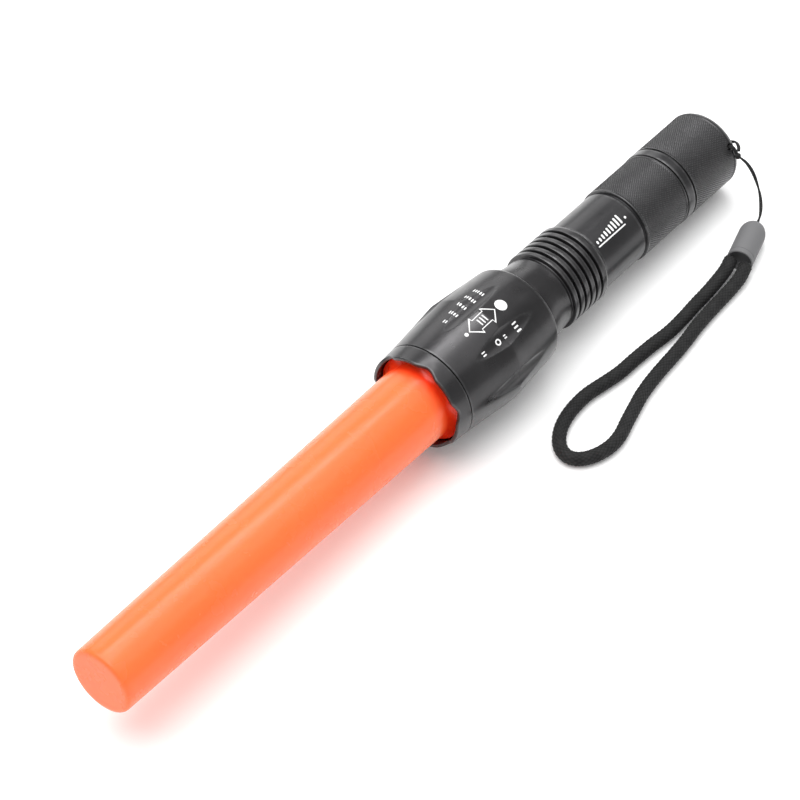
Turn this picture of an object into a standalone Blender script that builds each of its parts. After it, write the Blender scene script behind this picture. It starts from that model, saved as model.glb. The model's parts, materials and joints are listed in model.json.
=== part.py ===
"""Traffic baton light: a push-pull zoom torch, an orange diffuser wand and a wrist lanyard.

The light lies on its head and its tail cap, with the wand's tip towards -X and the tail towards +X.
Sizes are in millimetres. A place on the light is its station, which is the distance along the axis
from the tail's end face towards the wand's tip, with a radius and an angle. An angle of 0 is the top
and 90 degrees is the side that faces -Y. The meshes themselves are in metres.
"""

from math import acos, atan2, ceil, cos, pi, radians, sin

import bmesh
import bpy
from mathutils import Matrix, Vector

MM = 0.001
GAP = 0.3              # clearance between pieces that would touch
ROUND_SIDES = 32       # sides of the head, wand and tail cap
INNER_SIDES = 24       # sides of the tube, neck and the round pieces inside
SMALL_SIDES = 20       # sides of the small round pieces

# Stations where one zone of the light meets the next
TAIL_CAP_END = 28.0
KNURL_END = 50.2
TUBE_END = 71.7
FINS_END = 90.2
HEAD_START = 101.7
HEAD_WIDEST = 123.5
HEAD_END = 145.2
BEZEL_END = 151.7
WAND_TIP = 293.0

# Outer radii
TAIL_RADIUS = 13.5
KNURL_RADIUS = 13.3
TUBE_RADIUS = 12.75
FIN_RADIUS = 13.9
NECK_WAIST_RADIUS = 12.9
NECK_RADIUS = 14.2
HEAD_LIP_RADIUS = 17.0
HEAD_RADIUS = 19.0
BEZEL_RADIUS = 16.9
WAND_BASE_RADIUS = 12.7
WAND_TIP_RADIUS = 11.0
WAND_FLANGE_RADIUS = 15.0
WAND_WALL = 1.5

# Bores and the cell
TUBE_BORE = 10.6
SPIGOT_RADIUS = 11.9
THREAD_BORE = 12.2
CELL_RADIUS = 9.15
CELL_START = 21.6
CELL_END = 86.4
PILL_RADIUS = 10.9
PILL_START = 91.6
PILL_END = 113.0
WIRE_ANGLES = (90, 270)
DRIVER_START = 92.2
DRIVER_END = 93.4
HEAD_BORE = 15.6
BEZEL_BORE = 15.3
SKIRT_RADIUS = 15.2
LENS_RADIUS = 14.2
LENS_BACK = HEAD_END - 8.7

# Cooling fins
FIN_GROOVES = 6
GROOVE_WIDTH = 1.2
GROOVE_DEPTH = 1.3

# Flutes round the head and scallops round the bezel
FLUTES = 8
FLUTE_TOOL_RADIUS = 5.6
FLUTE_TOOL_CENTRE = 23.37
FLUTE_PHASE = 38.0
SCALLOPS = 6
SCALLOP_DEPTH = 1.4
SCALLOP_HALF_ANGLE = 17.0
SCALLOP_PHASE = 12.0

# Tail end
TAIL_CHAMFER = 2.0
RECESS_RADIUS = 9.5
RECESS_DEPTH = 4.0
LANYARD_HOLE_STATION = 2.8
LANYARD_HOLE_RADIUS = 1.2
LANYARD_HOLE_ANGLE = 53.0

# Lanyard
STRING_RADIUS = 0.45
KNOT_RADIUS = 1.3
KNOT_STATION = 3.0
KNOT_DISTANCE = 15.2
KNOT_ANGLE = 66.0
WRIST_CORD_RADIUS = 2.3
FERRULE_RADIUS = 4.4
FERRULE_TOP = (134.9, -29.2, 4.5)
FERRULE_MOUTH = (118.2, -34.2, 4.5)
STRING_ROUTE = [(144.3, -15.0, 18.6), (145.5, -16.7, 16.4), (146.3, -18.7, 13.1), (146.0, -21.0, 9.6),
                (144.4, -23.6, 6.9), (141.8, -25.9, 5.3), (138.7, -27.8, 4.7), (135.4, -29.05, 4.5)]
WRIST_CORD_ROUTE = [(116.8, -31.7, 4.4), (112.6, -32.7, 3.9), (107.8, -33.0, 3.1), (102.0, -33.2, 2.5),
                    (95.0, -33.4, 2.4), (88.0, -33.8, 2.4), (80.5, -33.8, 2.4), (72.5, -32.9, 2.4),
                    (64.5, -32.3, 2.4), (57.0, -31.9, 2.4), (50.0, -30.7, 2.4), (43.5, -29.5, 2.4),
                    (37.5, -29.4, 2.4), (32.0, -30.1, 2.4), (27.3, -31.5, 2.4), (23.2, -33.8, 2.4),
                    (20.4, -36.7, 2.4), (19.4, -40.0, 2.4), (20.5, -43.0, 2.4), (23.3, -45.4, 2.4),
                    (27.4, -47.1, 2.4), (32.0, -47.8, 2.4), (36.8, -47.3, 2.4), (42.0, -45.8, 2.4),
                    (48.0, -44.2, 2.4), (54.0, -42.7, 2.4), (60.5, -41.7, 2.4), (67.5, -41.1, 2.4),
                    (74.5, -40.7, 2.4), (81.0, -40.1, 2.4), (88.0, -39.2, 2.4), (95.0, -38.7, 2.4),
                    (102.0, -38.4, 2.4), (108.5, -38.2, 2.6), (113.6, -37.8, 3.1), (118.1, -36.6, 3.6)]

# Resting pose: the lowest facets of the head's widest ring and of the tail cap share the floor
TAIL_CONTACT_RADIUS = TAIL_RADIUS * cos(pi / ROUND_SIDES)
HEAD_CONTACT_RADIUS = HEAD_RADIUS * cos(pi / ROUND_SIDES)
TILT = atan2(HEAD_CONTACT_RADIUS - TAIL_CONTACT_RADIUS, HEAD_WIDEST - TAIL_CHAMFER)
TAIL_HEIGHT = TAIL_CONTACT_RADIUS * cos(TILT) - TAIL_CHAMFER * sin(TILT)
TAIL_END_RADIUS = TAIL_RADIUS - TAIL_CHAMFER * 0.8
TAIL_X = (WAND_TIP * cos(TILT) + (WAND_TIP_RADIUS - TAIL_END_RADIUS) * sin(TILT)) / 2
AXIS_FRAME = Matrix.Translation(Vector((TAIL_X, 0, TAIL_HEIGHT)) * MM) @ Matrix.Rotation(TILT, 4, "Y")

# Colours, with roughness and metallic value
FINISHES = {
    "black_anodised": ((0.022, 0.022, 0.024, 1), 0.38, 0.9),
    "orange_diffuser": ((1.0, 0.235, 0.075, 1), 0.35, 0.0),
    "clear_glass": ((0.9, 0.95, 1.0, 1), 0.05, 0.0),
    "black_rubber": ((0.03, 0.03, 0.03, 1), 0.7, 0.0),
    "bare_aluminium": ((0.75, 0.75, 0.77, 1), 0.35, 1.0),
    "spring_steel": ((0.7, 0.7, 0.68, 1), 0.3, 1.0),
    "gilt_contact": ((0.85, 0.62, 0.25, 1), 0.3, 1.0),
    "board_green": ((0.03, 0.18, 0.07, 1), 0.45, 0.0),
    "board_white": ((0.85, 0.85, 0.83, 1), 0.4, 0.0),
    "black_plastic": ((0.03, 0.03, 0.03, 1), 0.5, 0.0),
    "white_plastic": ((0.85, 0.85, 0.83, 1), 0.45, 0.0),
    "yellow_phosphor": ((0.9, 0.75, 0.1, 1), 0.4, 0.0),
    "cell_wrap": ((0.1, 0.25, 0.5, 1), 0.35, 0.0),
    "red_wire": ((0.6, 0.03, 0.03, 1), 0.45, 0.0),
    "grey_ferrule": ((0.14, 0.14, 0.145, 1), 0.5, 0.0),
    "black_cord": ((0.02, 0.02, 0.02, 1), 0.85, 0.0),
}


# ---------------------------------------------------------------------------------------- building

def clear_scene():
    """Remove every object, so that the script starts from nothing."""
    for item in list(bpy.data.objects):
        bpy.data.objects.remove(item, do_unlink=True)


def material(finish):
    """Return the Principled material of a finish, made once."""
    found = bpy.data.materials.get(finish)
    if found:
        return found
    colour, roughness, metallic = FINISHES[finish]
    made = bpy.data.materials.new(finish)
    made.use_nodes = True
    shader = made.node_tree.nodes["Principled BSDF"]
    shader.inputs["Base Color"].default_value = colour
    shader.inputs["Roughness"].default_value = roughness
    shader.inputs["Metallic"].default_value = metallic
    return made


def empty(name, parent=None):
    """Add an empty, which carries the pieces of one moving body."""
    made = bpy.data.objects.new(name, None)
    bpy.context.collection.objects.link(made)
    made.parent = parent
    return made


def add_object(name, data, finish, parent):
    """Link a mesh or curve as a named sub-part with its finish."""
    made = bpy.data.objects.new(name, data)
    bpy.context.collection.objects.link(made)
    made.parent = parent
    if finish:
        data.materials.append(material(finish))
    return made


def finish_mesh(name, shape, finish, parent):
    """Turn the edited shape into a sub-part with faces out and smooth round sides."""
    bmesh.ops.remove_doubles(shape, verts=shape.verts, dist=1e-7)
    bmesh.ops.recalc_face_normals(shape, faces=shape.faces)
    mesh = bpy.data.meshes.new(name)
    shape.to_mesh(mesh)
    shape.free()
    mesh.shade_smooth()
    mesh.set_sharp_from_angle(angle=radians(30))
    return add_object(name, mesh, finish, parent)


def arc(centre, radius, start, end, steps):
    """Return points of an arc in the (station, radius) plane, with its angles in degrees."""
    points = []
    for step in range(steps + 1):
        angle = radians(start + (end - start) * step / steps)
        points.append((centre[0] + radius * cos(angle), centre[1] + radius * sin(angle)))
    return points


def spun_shape(outline, sides):
    """Spin an outline of (station, radius) points round the axis into a closed shape."""
    shape = bmesh.new()
    tilt = pi / sides
    points = [shape.verts.new(Vector((-station, radius * sin(tilt), radius * cos(tilt))) * MM)
              for station, radius in outline]
    chain = list(zip(points, points[1:]))
    if outline[0][1] > 0:
        chain.append((points[-1], points[0]))
    edges = [shape.edges.new(pair) for pair in chain]
    bmesh.ops.spin(shape, geom=points + edges, cent=(0, 0, 0), axis=(1, 0, 0), angle=2 * pi,
                   steps=sides, use_merge=True)
    return shape


def turned(name, outline, finish, parent, sides=INNER_SIDES):
    """Make a turned sub-part from its outline, which is closed or runs from axis to axis."""
    return finish_mesh(name, spun_shape(outline, sides), finish, parent)


def ring(name, start, end, inner, outer, finish, parent, sides=INNER_SIDES):
    """Make a plain ring between two stations."""
    outline = [(start, inner), (start, outer), (end, outer), (end, inner)]
    return turned(name, outline, finish, parent, sides)


def disc(name, start, end, radius, finish, parent, sides=INNER_SIDES):
    """Make a plain disc between two stations."""
    return turned(name, [(start, 0), (start, radius), (end, radius), (end, 0)], finish, parent, sides)


def o_ring(name, station, radius, section, parent):
    """Make an O-ring whose section has its centre at a station and a radius."""
    return turned(name, arc((station, radius), section, 0, 300, 5), "black_rubber", parent)


def polar(station, distance, angle):
    """Return a place in the axis frame, in metres, from its station, distance and angle."""
    turn = radians(angle)
    return Vector((-station, -distance * sin(turn), distance * cos(turn))) * MM


def cutter(name, shape, parent):
    """Turn a shape into a hidden cutter."""
    tool = finish_mesh(name, shape, None, parent)
    tool.hide_render = True
    tool.display_type = "WIRE"
    return tool


def cut(piece, tool):
    """Take a cutter's shape out of a piece."""
    modifier = piece.modifiers.new(tool.name, "BOOLEAN")
    modifier.operation = "DIFFERENCE"
    modifier.object = tool


def add_rod(shape, start, end, radius, sides):
    """Add a closed cylinder between two places, in metres, to a shape."""
    run = end - start
    turn = run.to_track_quat("Z", "Y").to_matrix().to_4x4()
    place = Matrix.Translation((start + end) / 2) @ turn
    bmesh.ops.create_cone(shape, cap_ends=True, segments=sides, radius1=radius * MM, radius2=radius * MM,
                          depth=run.length, matrix=place)


def add_block(shape, start, end, half_width):
    """Add a square block on the axis between two stations to a shape."""
    size = Vector((end - start, 2 * half_width, 2 * half_width)) * MM
    place = Matrix.Translation(Vector((-(start + end) / 2, 0, 0)) * MM) @ Matrix.Diagonal(size).to_4x4()
    bmesh.ops.create_cube(shape, size=1, matrix=place)


def smooth_route(route, spacing):
    """Return evenly spaced points of the Catmull-Rom curve through a route, spacing in metres."""
    ends = [2 * route[0] - route[1]] + route + [2 * route[-1] - route[-2]]
    fine = []
    fine_steps = 24
    for before, start, end, after in zip(ends, ends[1:], ends[2:], ends[3:]):
        for step in range(fine_steps):
            t = step / fine_steps
            fine.append(0.5 * (2 * start + (end - before) * t + (2 * before - 5 * start + 4 * end - after) * t ** 2
                               + (3 * start - before - 3 * end + after) * t ** 3))
    fine.append(route[-1])
    travel = [0.0]
    for here, following in zip(fine, fine[1:]):
        travel.append(travel[-1] + (following - here).length)
    count = max(2, ceil(travel[-1] / spacing))
    points = []
    index = 0
    for step in range(count + 1):
        target = travel[-1] * step / count
        while index < len(fine) - 2 and travel[index + 1] < target:
            index += 1
        share = (target - travel[index]) / (travel[index + 1] - travel[index])
        points.append(fine[index].lerp(fine[index + 1], min(1.0, share)))
    return points


def tube(name, points, radius, finish, parent, resolution=2):
    """Make a round tube along a list of places in metres, with filled ends."""
    curve = bpy.data.curves.new(name, "CURVE")
    curve.dimensions = "3D"
    curve.bevel_depth = radius * MM
    curve.bevel_resolution = resolution
    curve.use_fill_caps = True
    spline = curve.splines.new("POLY")
    spline.points.add(len(points) - 1)
    for target, place in zip(spline.points, points):
        target.co = (*place, 1)
    return add_object(name, curve, finish, parent)


def coil(name, start, end, start_radius, end_radius, turns, wire, finish, parent):
    """Make a compression spring between two stations, tapering from one radius to the other."""
    steps_per_turn = 12
    steps = round(turns * steps_per_turn)
    points = []
    for step in range(steps + 1):
        share = step / steps
        radius = start_radius + (end_radius - start_radius) * share
        points.append(polar(start + (end - start) * share, radius, 360 * turns * share))
    return tube(name, points, wire, finish, parent, 1)


# ------------------------------------------------------------------------------- tail cap and switch

def make_tail_cap(body):
    """Make the knurled cap with its recessed end, its thread bore and its lanyard hole."""
    groove_start = TAIL_CAP_END - 4.0
    groove_end = groove_start + 0.8
    web_end = RECESS_DEPTH + 1.5
    switch_bore_end = 16.0
    rounded_end = [(0, TAIL_END_RADIUS), (0.7, TAIL_RADIUS - 0.6), (TAIL_CHAMFER, TAIL_RADIUS)]
    outline = [(0, RECESS_RADIUS)] + rounded_end + [
        (groove_start, TAIL_RADIUS), (groove_start, TAIL_RADIUS - 0.5),
        (groove_end, TAIL_RADIUS - 0.5), (groove_end, TAIL_RADIUS),
        (TAIL_CAP_END - 0.3, TAIL_RADIUS), (TAIL_CAP_END, TAIL_RADIUS - 0.3),
        (TAIL_CAP_END, THREAD_BORE), (switch_bore_end, THREAD_BORE),
        (switch_bore_end, 10.4), (web_end, 10.4), (web_end, 7.0), (RECESS_DEPTH, 7.0),
        (RECESS_DEPTH, RECESS_RADIUS)]
    cap = turned("tail_cap", outline, "black_anodised", body, ROUND_SIDES)
    hole = bmesh.new()
    add_rod(hole, polar(LANYARD_HOLE_STATION, RECESS_RADIUS - 1.5, LANYARD_HOLE_ANGLE),
            polar(LANYARD_HOLE_STATION, TAIL_RADIUS + 1, LANYARD_HOLE_ANGLE), LANYARD_HOLE_RADIUS, 16)
    cut(cap, cutter("lanyard_hole_cutter", hole, body))


def make_switch_boot(body):
    """Make the rubber dome that is pressed, hollow and open towards the switch."""
    outside = [(1.2, 0), (1.2, 2.6), (1.4, 4.8), (2.0, 6.1), (3.2, 6.7), (5.8, 6.7), (5.8, 7.9)]
    inside = [(6.8, 7.9), (6.8, 5.4), (3.8, 5.4), (2.9, 4.6), (2.5, 2.8), (2.5, 0)]
    turned("switch_boot", outside + inside, "black_rubber", body, SMALL_SIDES)


def make_switch_plunger(body):
    """Make the pin under the boot that pushes the click switch."""
    disc("switch_plunger", 2.5 + GAP, 9.0, 2.2, "white_plastic", body, SMALL_SIDES)


def make_switch(body):
    """Make the click switch, its board, the washer round the boot and the threaded retaining ring."""
    board_start = 13.3
    board_end = 14.5
    ring("boot_washer", 5.8, 7.2, 8.4, 10.1, "white_plastic", body)
    block = bmesh.new()
    add_block(block, 9.2, board_start - GAP, 4.2)
    switch = finish_mesh("click_switch", block, "black_plastic", body)
    hole = bmesh.new()
    add_rod(hole, polar(8.0, 0, 0), polar(12.0, 0, 0), 2.6, 16)
    cut(switch, cutter("plunger_hole_cutter", hole, body))
    disc("switch_board", board_start, board_end, 9.6, "board_green", body)
    ring("switch_retaining_ring", board_end + GAP, 15.9, 7.4, 10.1, "bare_aluminium", body)
    coil("tail_spring", board_end + 0.65, CELL_START - 0.65, 5.6, 3.4, 4, 0.35, "spring_steel", body)


# ------------------------------------------------------------------------------ battery tube and cell

def make_battery_tube(body):
    """Make the tube with its knurled grip, its smooth barrel and a threaded spigot at each end."""
    tail_spigot_start = 16.3
    neck_spigot_end = 81.5
    ring_seat = 25.0
    neck_ring_seat = TUBE_END + 1.6
    outline = [
        (tail_spigot_start, TUBE_BORE), (tail_spigot_start, SPIGOT_RADIUS),
        (ring_seat - 0.75, SPIGOT_RADIUS), (ring_seat - 0.75, SPIGOT_RADIUS - 0.8),
        (ring_seat + 0.75, SPIGOT_RADIUS - 0.8), (ring_seat + 0.75, SPIGOT_RADIUS),
        (TAIL_CAP_END + GAP, SPIGOT_RADIUS), (TAIL_CAP_END + GAP, KNURL_RADIUS - 0.3),
        (TAIL_CAP_END + 2 * GAP, KNURL_RADIUS), (KNURL_END - 0.5, KNURL_RADIUS),
        (KNURL_END - 0.2, TUBE_RADIUS - 0.4), (KNURL_END + 0.6, TUBE_RADIUS - 0.4),
        (KNURL_END + 0.8, TUBE_RADIUS), (TUBE_END - GAP, TUBE_RADIUS), (TUBE_END - GAP, SPIGOT_RADIUS),
        (neck_ring_seat - 0.75, SPIGOT_RADIUS), (neck_ring_seat - 0.75, SPIGOT_RADIUS - 0.8),
        (neck_ring_seat + 0.75, SPIGOT_RADIUS - 0.8), (neck_ring_seat + 0.75, SPIGOT_RADIUS),
        (neck_spigot_end, SPIGOT_RADIUS), (neck_spigot_end, TUBE_BORE)]
    turned("battery_tube", outline, "black_anodised", body)
    o_ring("tail_o_ring", ring_seat, SPIGOT_RADIUS - 0.35, 0.4, body)
    o_ring("neck_o_ring", neck_ring_seat, SPIGOT_RADIUS - 0.35, 0.4, body)


def make_cell(body):
    """Make the rechargeable cell, its button contact and insulator, and the sleeve round it."""
    shoulder = 1.0
    can = [(CELL_START, 0), (CELL_START, CELL_RADIUS - 0.4), (CELL_START + 0.4, CELL_RADIUS),
           (CELL_END - shoulder, CELL_RADIUS), (CELL_END, CELL_RADIUS - shoulder), (CELL_END, 0)]
    turned("cell", can, "cell_wrap", body, SMALL_SIDES)
    ring("cell_insulator", CELL_END + GAP, CELL_END + 0.8, 3.6, 7.6, "white_plastic", body, SMALL_SIDES)
    disc("cell_button", CELL_END + GAP, CELL_END + 1.6, 3.1, "bare_aluminium", body, SMALL_SIDES)
    ring("cell_sleeve", 24.0, 81.0, CELL_RADIUS + GAP, TUBE_BORE - GAP, "white_plastic", body, SMALL_SIDES)


# -------------------------------------------------------------------------------- neck and light engine

def neck_outline():
    """Return the outside of the neck: rear lip, cooling fins, waist and the sliding stretch."""
    pitch = (FINS_END - TUBE_END - 1.4) / FIN_GROOVES
    outline = [(TUBE_END, 13.1), (TUBE_END + 0.5, 13.6), (TUBE_END + 1.2, FIN_RADIUS)]
    for groove in range(FIN_GROOVES):
        end = FINS_END - (FIN_GROOVES - 1 - groove) * pitch
        start = end - GROOVE_WIDTH
        floor = FIN_RADIUS - GROOVE_DEPTH
        leaving = NECK_WAIST_RADIUS if groove == FIN_GROOVES - 1 else FIN_RADIUS
        outline += [(start, FIN_RADIUS), (start + 0.15, floor), (end - 0.15, floor), (end, leaving)]
    waist_steps = 4
    waist_length = HEAD_START - FINS_END
    for step in range(1, waist_steps + 1):
        share = step / waist_steps
        rise = (1 - cos(pi * share)) / 2
        outline.append((FINS_END + waist_length * share,
                        NECK_WAIST_RADIUS + (NECK_RADIUS - NECK_WAIST_RADIUS) * rise))
    return outline


def make_neck(body):
    """Make the finned neck that the head slides on, with its two seals and its stop ring."""
    seats = [HEAD_START + 1.6, HEAD_START + 4.2]
    seat_depth = 0.8
    slide_end = HEAD_START + 5.6
    stop_seat_end = slide_end + 1.6
    front_end = 115.5
    outline = neck_outline()
    for seat in seats:
        outline += [(seat - 0.7, NECK_RADIUS), (seat - 0.7, NECK_RADIUS - seat_depth),
                    (seat + 0.7, NECK_RADIUS - seat_depth), (seat + 0.7, NECK_RADIUS)]
    outline += [
        (slide_end, NECK_RADIUS), (slide_end, 13.2), (stop_seat_end, 13.2), (stop_seat_end, 13.7),
        (front_end - 0.5, 13.7), (front_end, 13.2), (front_end, PILL_RADIUS + GAP),
        (PILL_START - GAP, PILL_RADIUS + GAP), (PILL_START - GAP, 9.9), (82.0, 9.9), (82.0, THREAD_BORE),
        (TUBE_END, THREAD_BORE)]
    turned("neck_housing", outline, "black_anodised", body)
    for name, seat in zip(("zoom_o_ring_rear", "zoom_o_ring_front"), seats):
        o_ring(name, seat, NECK_RADIUS - 0.32, 0.4, body)
    ring("neck_stop_ring", slide_end + GAP / 2, stop_seat_end - GAP / 2, 13.5, 15.2, "spring_steel", body)


def make_pill(body):
    """Make the metal pill, with its driver pocket behind and two wire holes through to the front."""
    pocket_end = 98.0
    pocket_radius = 9.9
    hole_distance = 9.1
    outline = [(pocket_end, 0), (pocket_end, pocket_radius), (PILL_START, pocket_radius),
               (PILL_START, PILL_RADIUS), (PILL_END, PILL_RADIUS), (PILL_END, 0)]
    pill = turned("led_pill", outline, "bare_aluminium", body)
    holes = bmesh.new()
    for angle in WIRE_ANGLES:
        add_rod(holes, polar(pocket_end - 1, hole_distance, angle), polar(PILL_END + 1, hole_distance, angle),
                0.8, 12)
    cut(pill, cutter("wire_hole_cutter", holes, body))
    for name, finish, angle in zip(("wire_red", "wire_black"), ("red_wire", "black_plastic"), WIRE_ANGLES):
        route = [polar(DRIVER_END + GAP, hole_distance, angle), polar(pocket_end, hole_distance, angle),
                 polar(PILL_END, hole_distance, angle), polar(PILL_END + 1.7, 8.9, angle),
                 polar(PILL_END + 2.4, 8.1, angle), polar(PILL_END + 2.4, 6.8, angle)]
        tube(name, smooth_route(route, 1.2 * MM), 0.4, finish, body, 1)


def make_driver(body):
    """Make the driver board with its inductor, its chip and the spring that meets the cell."""
    disc("driver_board", DRIVER_START, DRIVER_END, 9.5, "board_green", body)
    inductor = bmesh.new()
    add_rod(inductor, polar(DRIVER_END + GAP, 4.2, 0), polar(DRIVER_END + 3.2, 4.2, 0), 2.4, 16)
    finish_mesh("driver_inductor", inductor, "black_plastic", body)
    chip = bmesh.new()
    add_block(chip, DRIVER_END + GAP, DRIVER_END + 1.8, 1.9)
    bmesh.ops.translate(chip, verts=chip.verts, vec=Vector((0, 0, -4.2)) * MM)
    finish_mesh("driver_chip", chip, "black_plastic", body)
    coil("driver_spring", DRIVER_START - 0.65, CELL_END + 2.25, 4.4, 2.4, 2.5, 0.3, "gilt_contact", body)


def make_light_source(body):
    """Make the star board, the package with its dome, and the white ring that centres it."""
    board_start = PILL_END + GAP
    board_end = board_start + 1.4
    package_start = board_end + GAP
    package_end = package_start + 0.8
    disc("led_board", board_start, board_end, 7.8, "board_white", body)
    package = bmesh.new()
    add_block(package, package_start, package_end, 2.5)
    finish_mesh("led_package", package, "yellow_phosphor", body)
    dome_radius = 1.8
    dome = [(package_end + GAP, 0)] + arc((package_end + GAP, 0), dome_radius, 90, 0, 6)
    turned("led_dome", dome, "clear_glass", body, SMALL_SIDES)
    ring("led_centring_ring", package_start, package_start + 1.2, 3.8, 6.0, "white_plastic", body, SMALL_SIDES)


# ------------------------------------------------------------------------------------- head and lens

def make_head_barrel(body):
    """Make the barrel that slides to zoom: rear bearing, lens seat, and flutes round its widest ring."""
    land_end = HEAD_START + 5.4
    lens_seat = LENS_BACK - GAP
    lens_bore_end = LENS_BACK + 3.0
    land_radius = NECK_RADIUS + GAP
    outline = [
        (HEAD_START, land_radius), (HEAD_START, 15.9), (HEAD_START + 0.35, 16.5), (HEAD_START + 1.0, 16.9),
        (HEAD_START + 2.0, HEAD_LIP_RADIUS + 0.15), (HEAD_WIDEST, HEAD_RADIUS),
        (HEAD_END - 0.2, BEZEL_RADIUS), (HEAD_END, BEZEL_RADIUS - 0.2), (HEAD_END, SKIRT_RADIUS + GAP),
        (lens_bore_end, SKIRT_RADIUS + GAP), (lens_bore_end, LENS_RADIUS + GAP),
        (lens_seat, LENS_RADIUS + GAP), (lens_seat, 13.2), (lens_seat - 1.4, 13.2),
        (lens_seat - 1.4, HEAD_BORE), (land_end, HEAD_BORE), (land_end, land_radius)]
    barrel = turned("head_barrel", outline, "black_anodised", body, ROUND_SIDES)
    flutes = bmesh.new()
    half_length = 18.0
    for flute in range(FLUTES):
        angle = FLUTE_PHASE + 360 * flute / FLUTES
        add_rod(flutes, polar(HEAD_WIDEST - half_length, FLUTE_TOOL_CENTRE, angle),
                polar(HEAD_WIDEST + half_length, FLUTE_TOOL_CENTRE, angle), FLUTE_TOOL_RADIUS, 24)
    cut(barrel, cutter("flute_cutter", flutes, body))


def scallop_drop(angle):
    """Return how far the bezel's front edge is cut back at an angle in degrees."""
    spacing = 360 / SCALLOPS
    offset = abs((angle - SCALLOP_PHASE + spacing / 2) % spacing - spacing / 2)
    if offset >= SCALLOP_HALF_ANGLE:
        return 0.0
    return SCALLOP_DEPTH * (1 + cos(pi * offset / SCALLOP_HALF_ANGLE)) / 2


def make_bezel(body):
    """Make the ring screwed into the head, with a scalloped front edge and a seat for the wand."""
    skirt_start = LENS_BACK + 3.5
    shoulder = HEAD_END + GAP
    seat = HEAD_END + 0.1
    front_radius = BEZEL_RADIUS - 0.4
    outline = [
        (skirt_start, 13.9), (skirt_start, SKIRT_RADIUS), (shoulder, SKIRT_RADIUS),
        (shoulder, BEZEL_RADIUS - 0.2), (shoulder + 0.2, BEZEL_RADIUS), (BEZEL_END - 2.2, front_radius + 0.1),
        (BEZEL_END - 0.2, front_radius), (BEZEL_END, front_radius - 0.2), (BEZEL_END, BEZEL_BORE + 0.2),
        (BEZEL_END - 0.2, BEZEL_BORE), (seat, BEZEL_BORE), (seat, 13.9)]
    shape = spun_shape(outline, 2 * ROUND_SIDES)
    rim = -(BEZEL_END - 0.3) * MM
    for corner in shape.verts:
        if corner.co.x < rim:
            angle = atan2(-corner.co.y, corner.co.z) * 180 / pi
            corner.co.x += scallop_drop(angle) * MM
    finish_mesh("bezel_ring", shape, "black_anodised", body)


def make_lens(body):
    """Make the plano-convex lens and the seal that the bezel presses on it."""
    edge_end = LENS_BACK + 2.0
    dome_base = 13.3
    dome_height = 6.6
    sphere = (dome_base ** 2 + dome_height ** 2) / (2 * dome_height)
    centre = edge_end + dome_height - sphere
    dome_angle = acos((edge_end - centre) / sphere) * 180 / pi
    dome = arc((centre, 0), sphere, dome_angle, 0, 6)
    outline = [(LENS_BACK, 0), (LENS_BACK, LENS_RADIUS), (edge_end, LENS_RADIUS)] + dome
    turned("lens", outline, "clear_glass", body)
    o_ring("lens_o_ring", edge_end + 0.75, 13.8, 0.4, body)


def make_wand(body):
    """Make the hollow orange wand, open at its base, with a flange that seats in the bezel."""
    base = HEAD_END + 0.4
    cove_radius = 2.8
    cove_centre = (base + 6.1, WAND_BASE_RADIUS + cove_radius)
    edge = 1.2
    inner_end = WAND_TIP - WAND_WALL
    inner_base = WAND_BASE_RADIUS - WAND_WALL
    inner_tip = WAND_TIP_RADIUS - WAND_WALL
    skirt_bore = WAND_FLANGE_RADIUS - 1.6
    outline = [
        (inner_end, 0), (inner_end, inner_tip - 0.6), (inner_end - 0.6, inner_tip), (base + 5.7, inner_base),
        (base + 2.3, skirt_bore), (base, skirt_bore), (base, WAND_FLANGE_RADIUS),
        (base + 3.3, WAND_FLANGE_RADIUS)]
    outline += arc(cove_centre, cove_radius, 192, 270, 4)
    outline += arc((WAND_TIP - edge, WAND_TIP_RADIUS - edge), edge, 90, 0, 3)
    outline.append((WAND_TIP, 0))
    turned("diffuser_wand", outline, "orange_diffuser", body, ROUND_SIDES)


# ------------------------------------------------------------------------------------------ lanyard

def make_string(body):
    """Make the string: its turn through the hole and over the rim, its knot, and the lead to the ferrule."""
    hole = LANYARD_HOLE_ANGLE
    turn = [polar(1.5, 14.9, hole + 10), polar(0.1, 14.2, hole + 7), polar(-1.2, 12.5, hole + 3),
            polar(-1.2, 10.3, hole + 1), polar(-0.5, 8.8, hole), polar(0.9, 8.5, hole), polar(2.2, 8.6, hole)]
    turn += [polar(LANYARD_HOLE_STATION, distance, hole) for distance in (9.9, 11.6, 13.3)]
    turn += [polar(LANYARD_HOLE_STATION, 14.5, hole + 2.5), polar(2.9, 15.0, hole + 6.8)]
    tube("lanyard_turn", smooth_route(turn, 0.9 * MM), STRING_RADIUS, "black_cord", body)
    knot = bmesh.new()
    knot_place = Matrix.Translation(polar(KNOT_STATION, KNOT_DISTANCE, KNOT_ANGLE))
    bmesh.ops.create_icosphere(knot, subdivisions=2, radius=KNOT_RADIUS * MM, matrix=knot_place)
    finish_mesh("lanyard_knot", knot, "black_cord", body)
    lead = [Vector(point) * MM for point in STRING_ROUTE]
    tube("lanyard_string", smooth_route(lead, 1.1 * MM), STRING_RADIUS, "black_cord", None)


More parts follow.
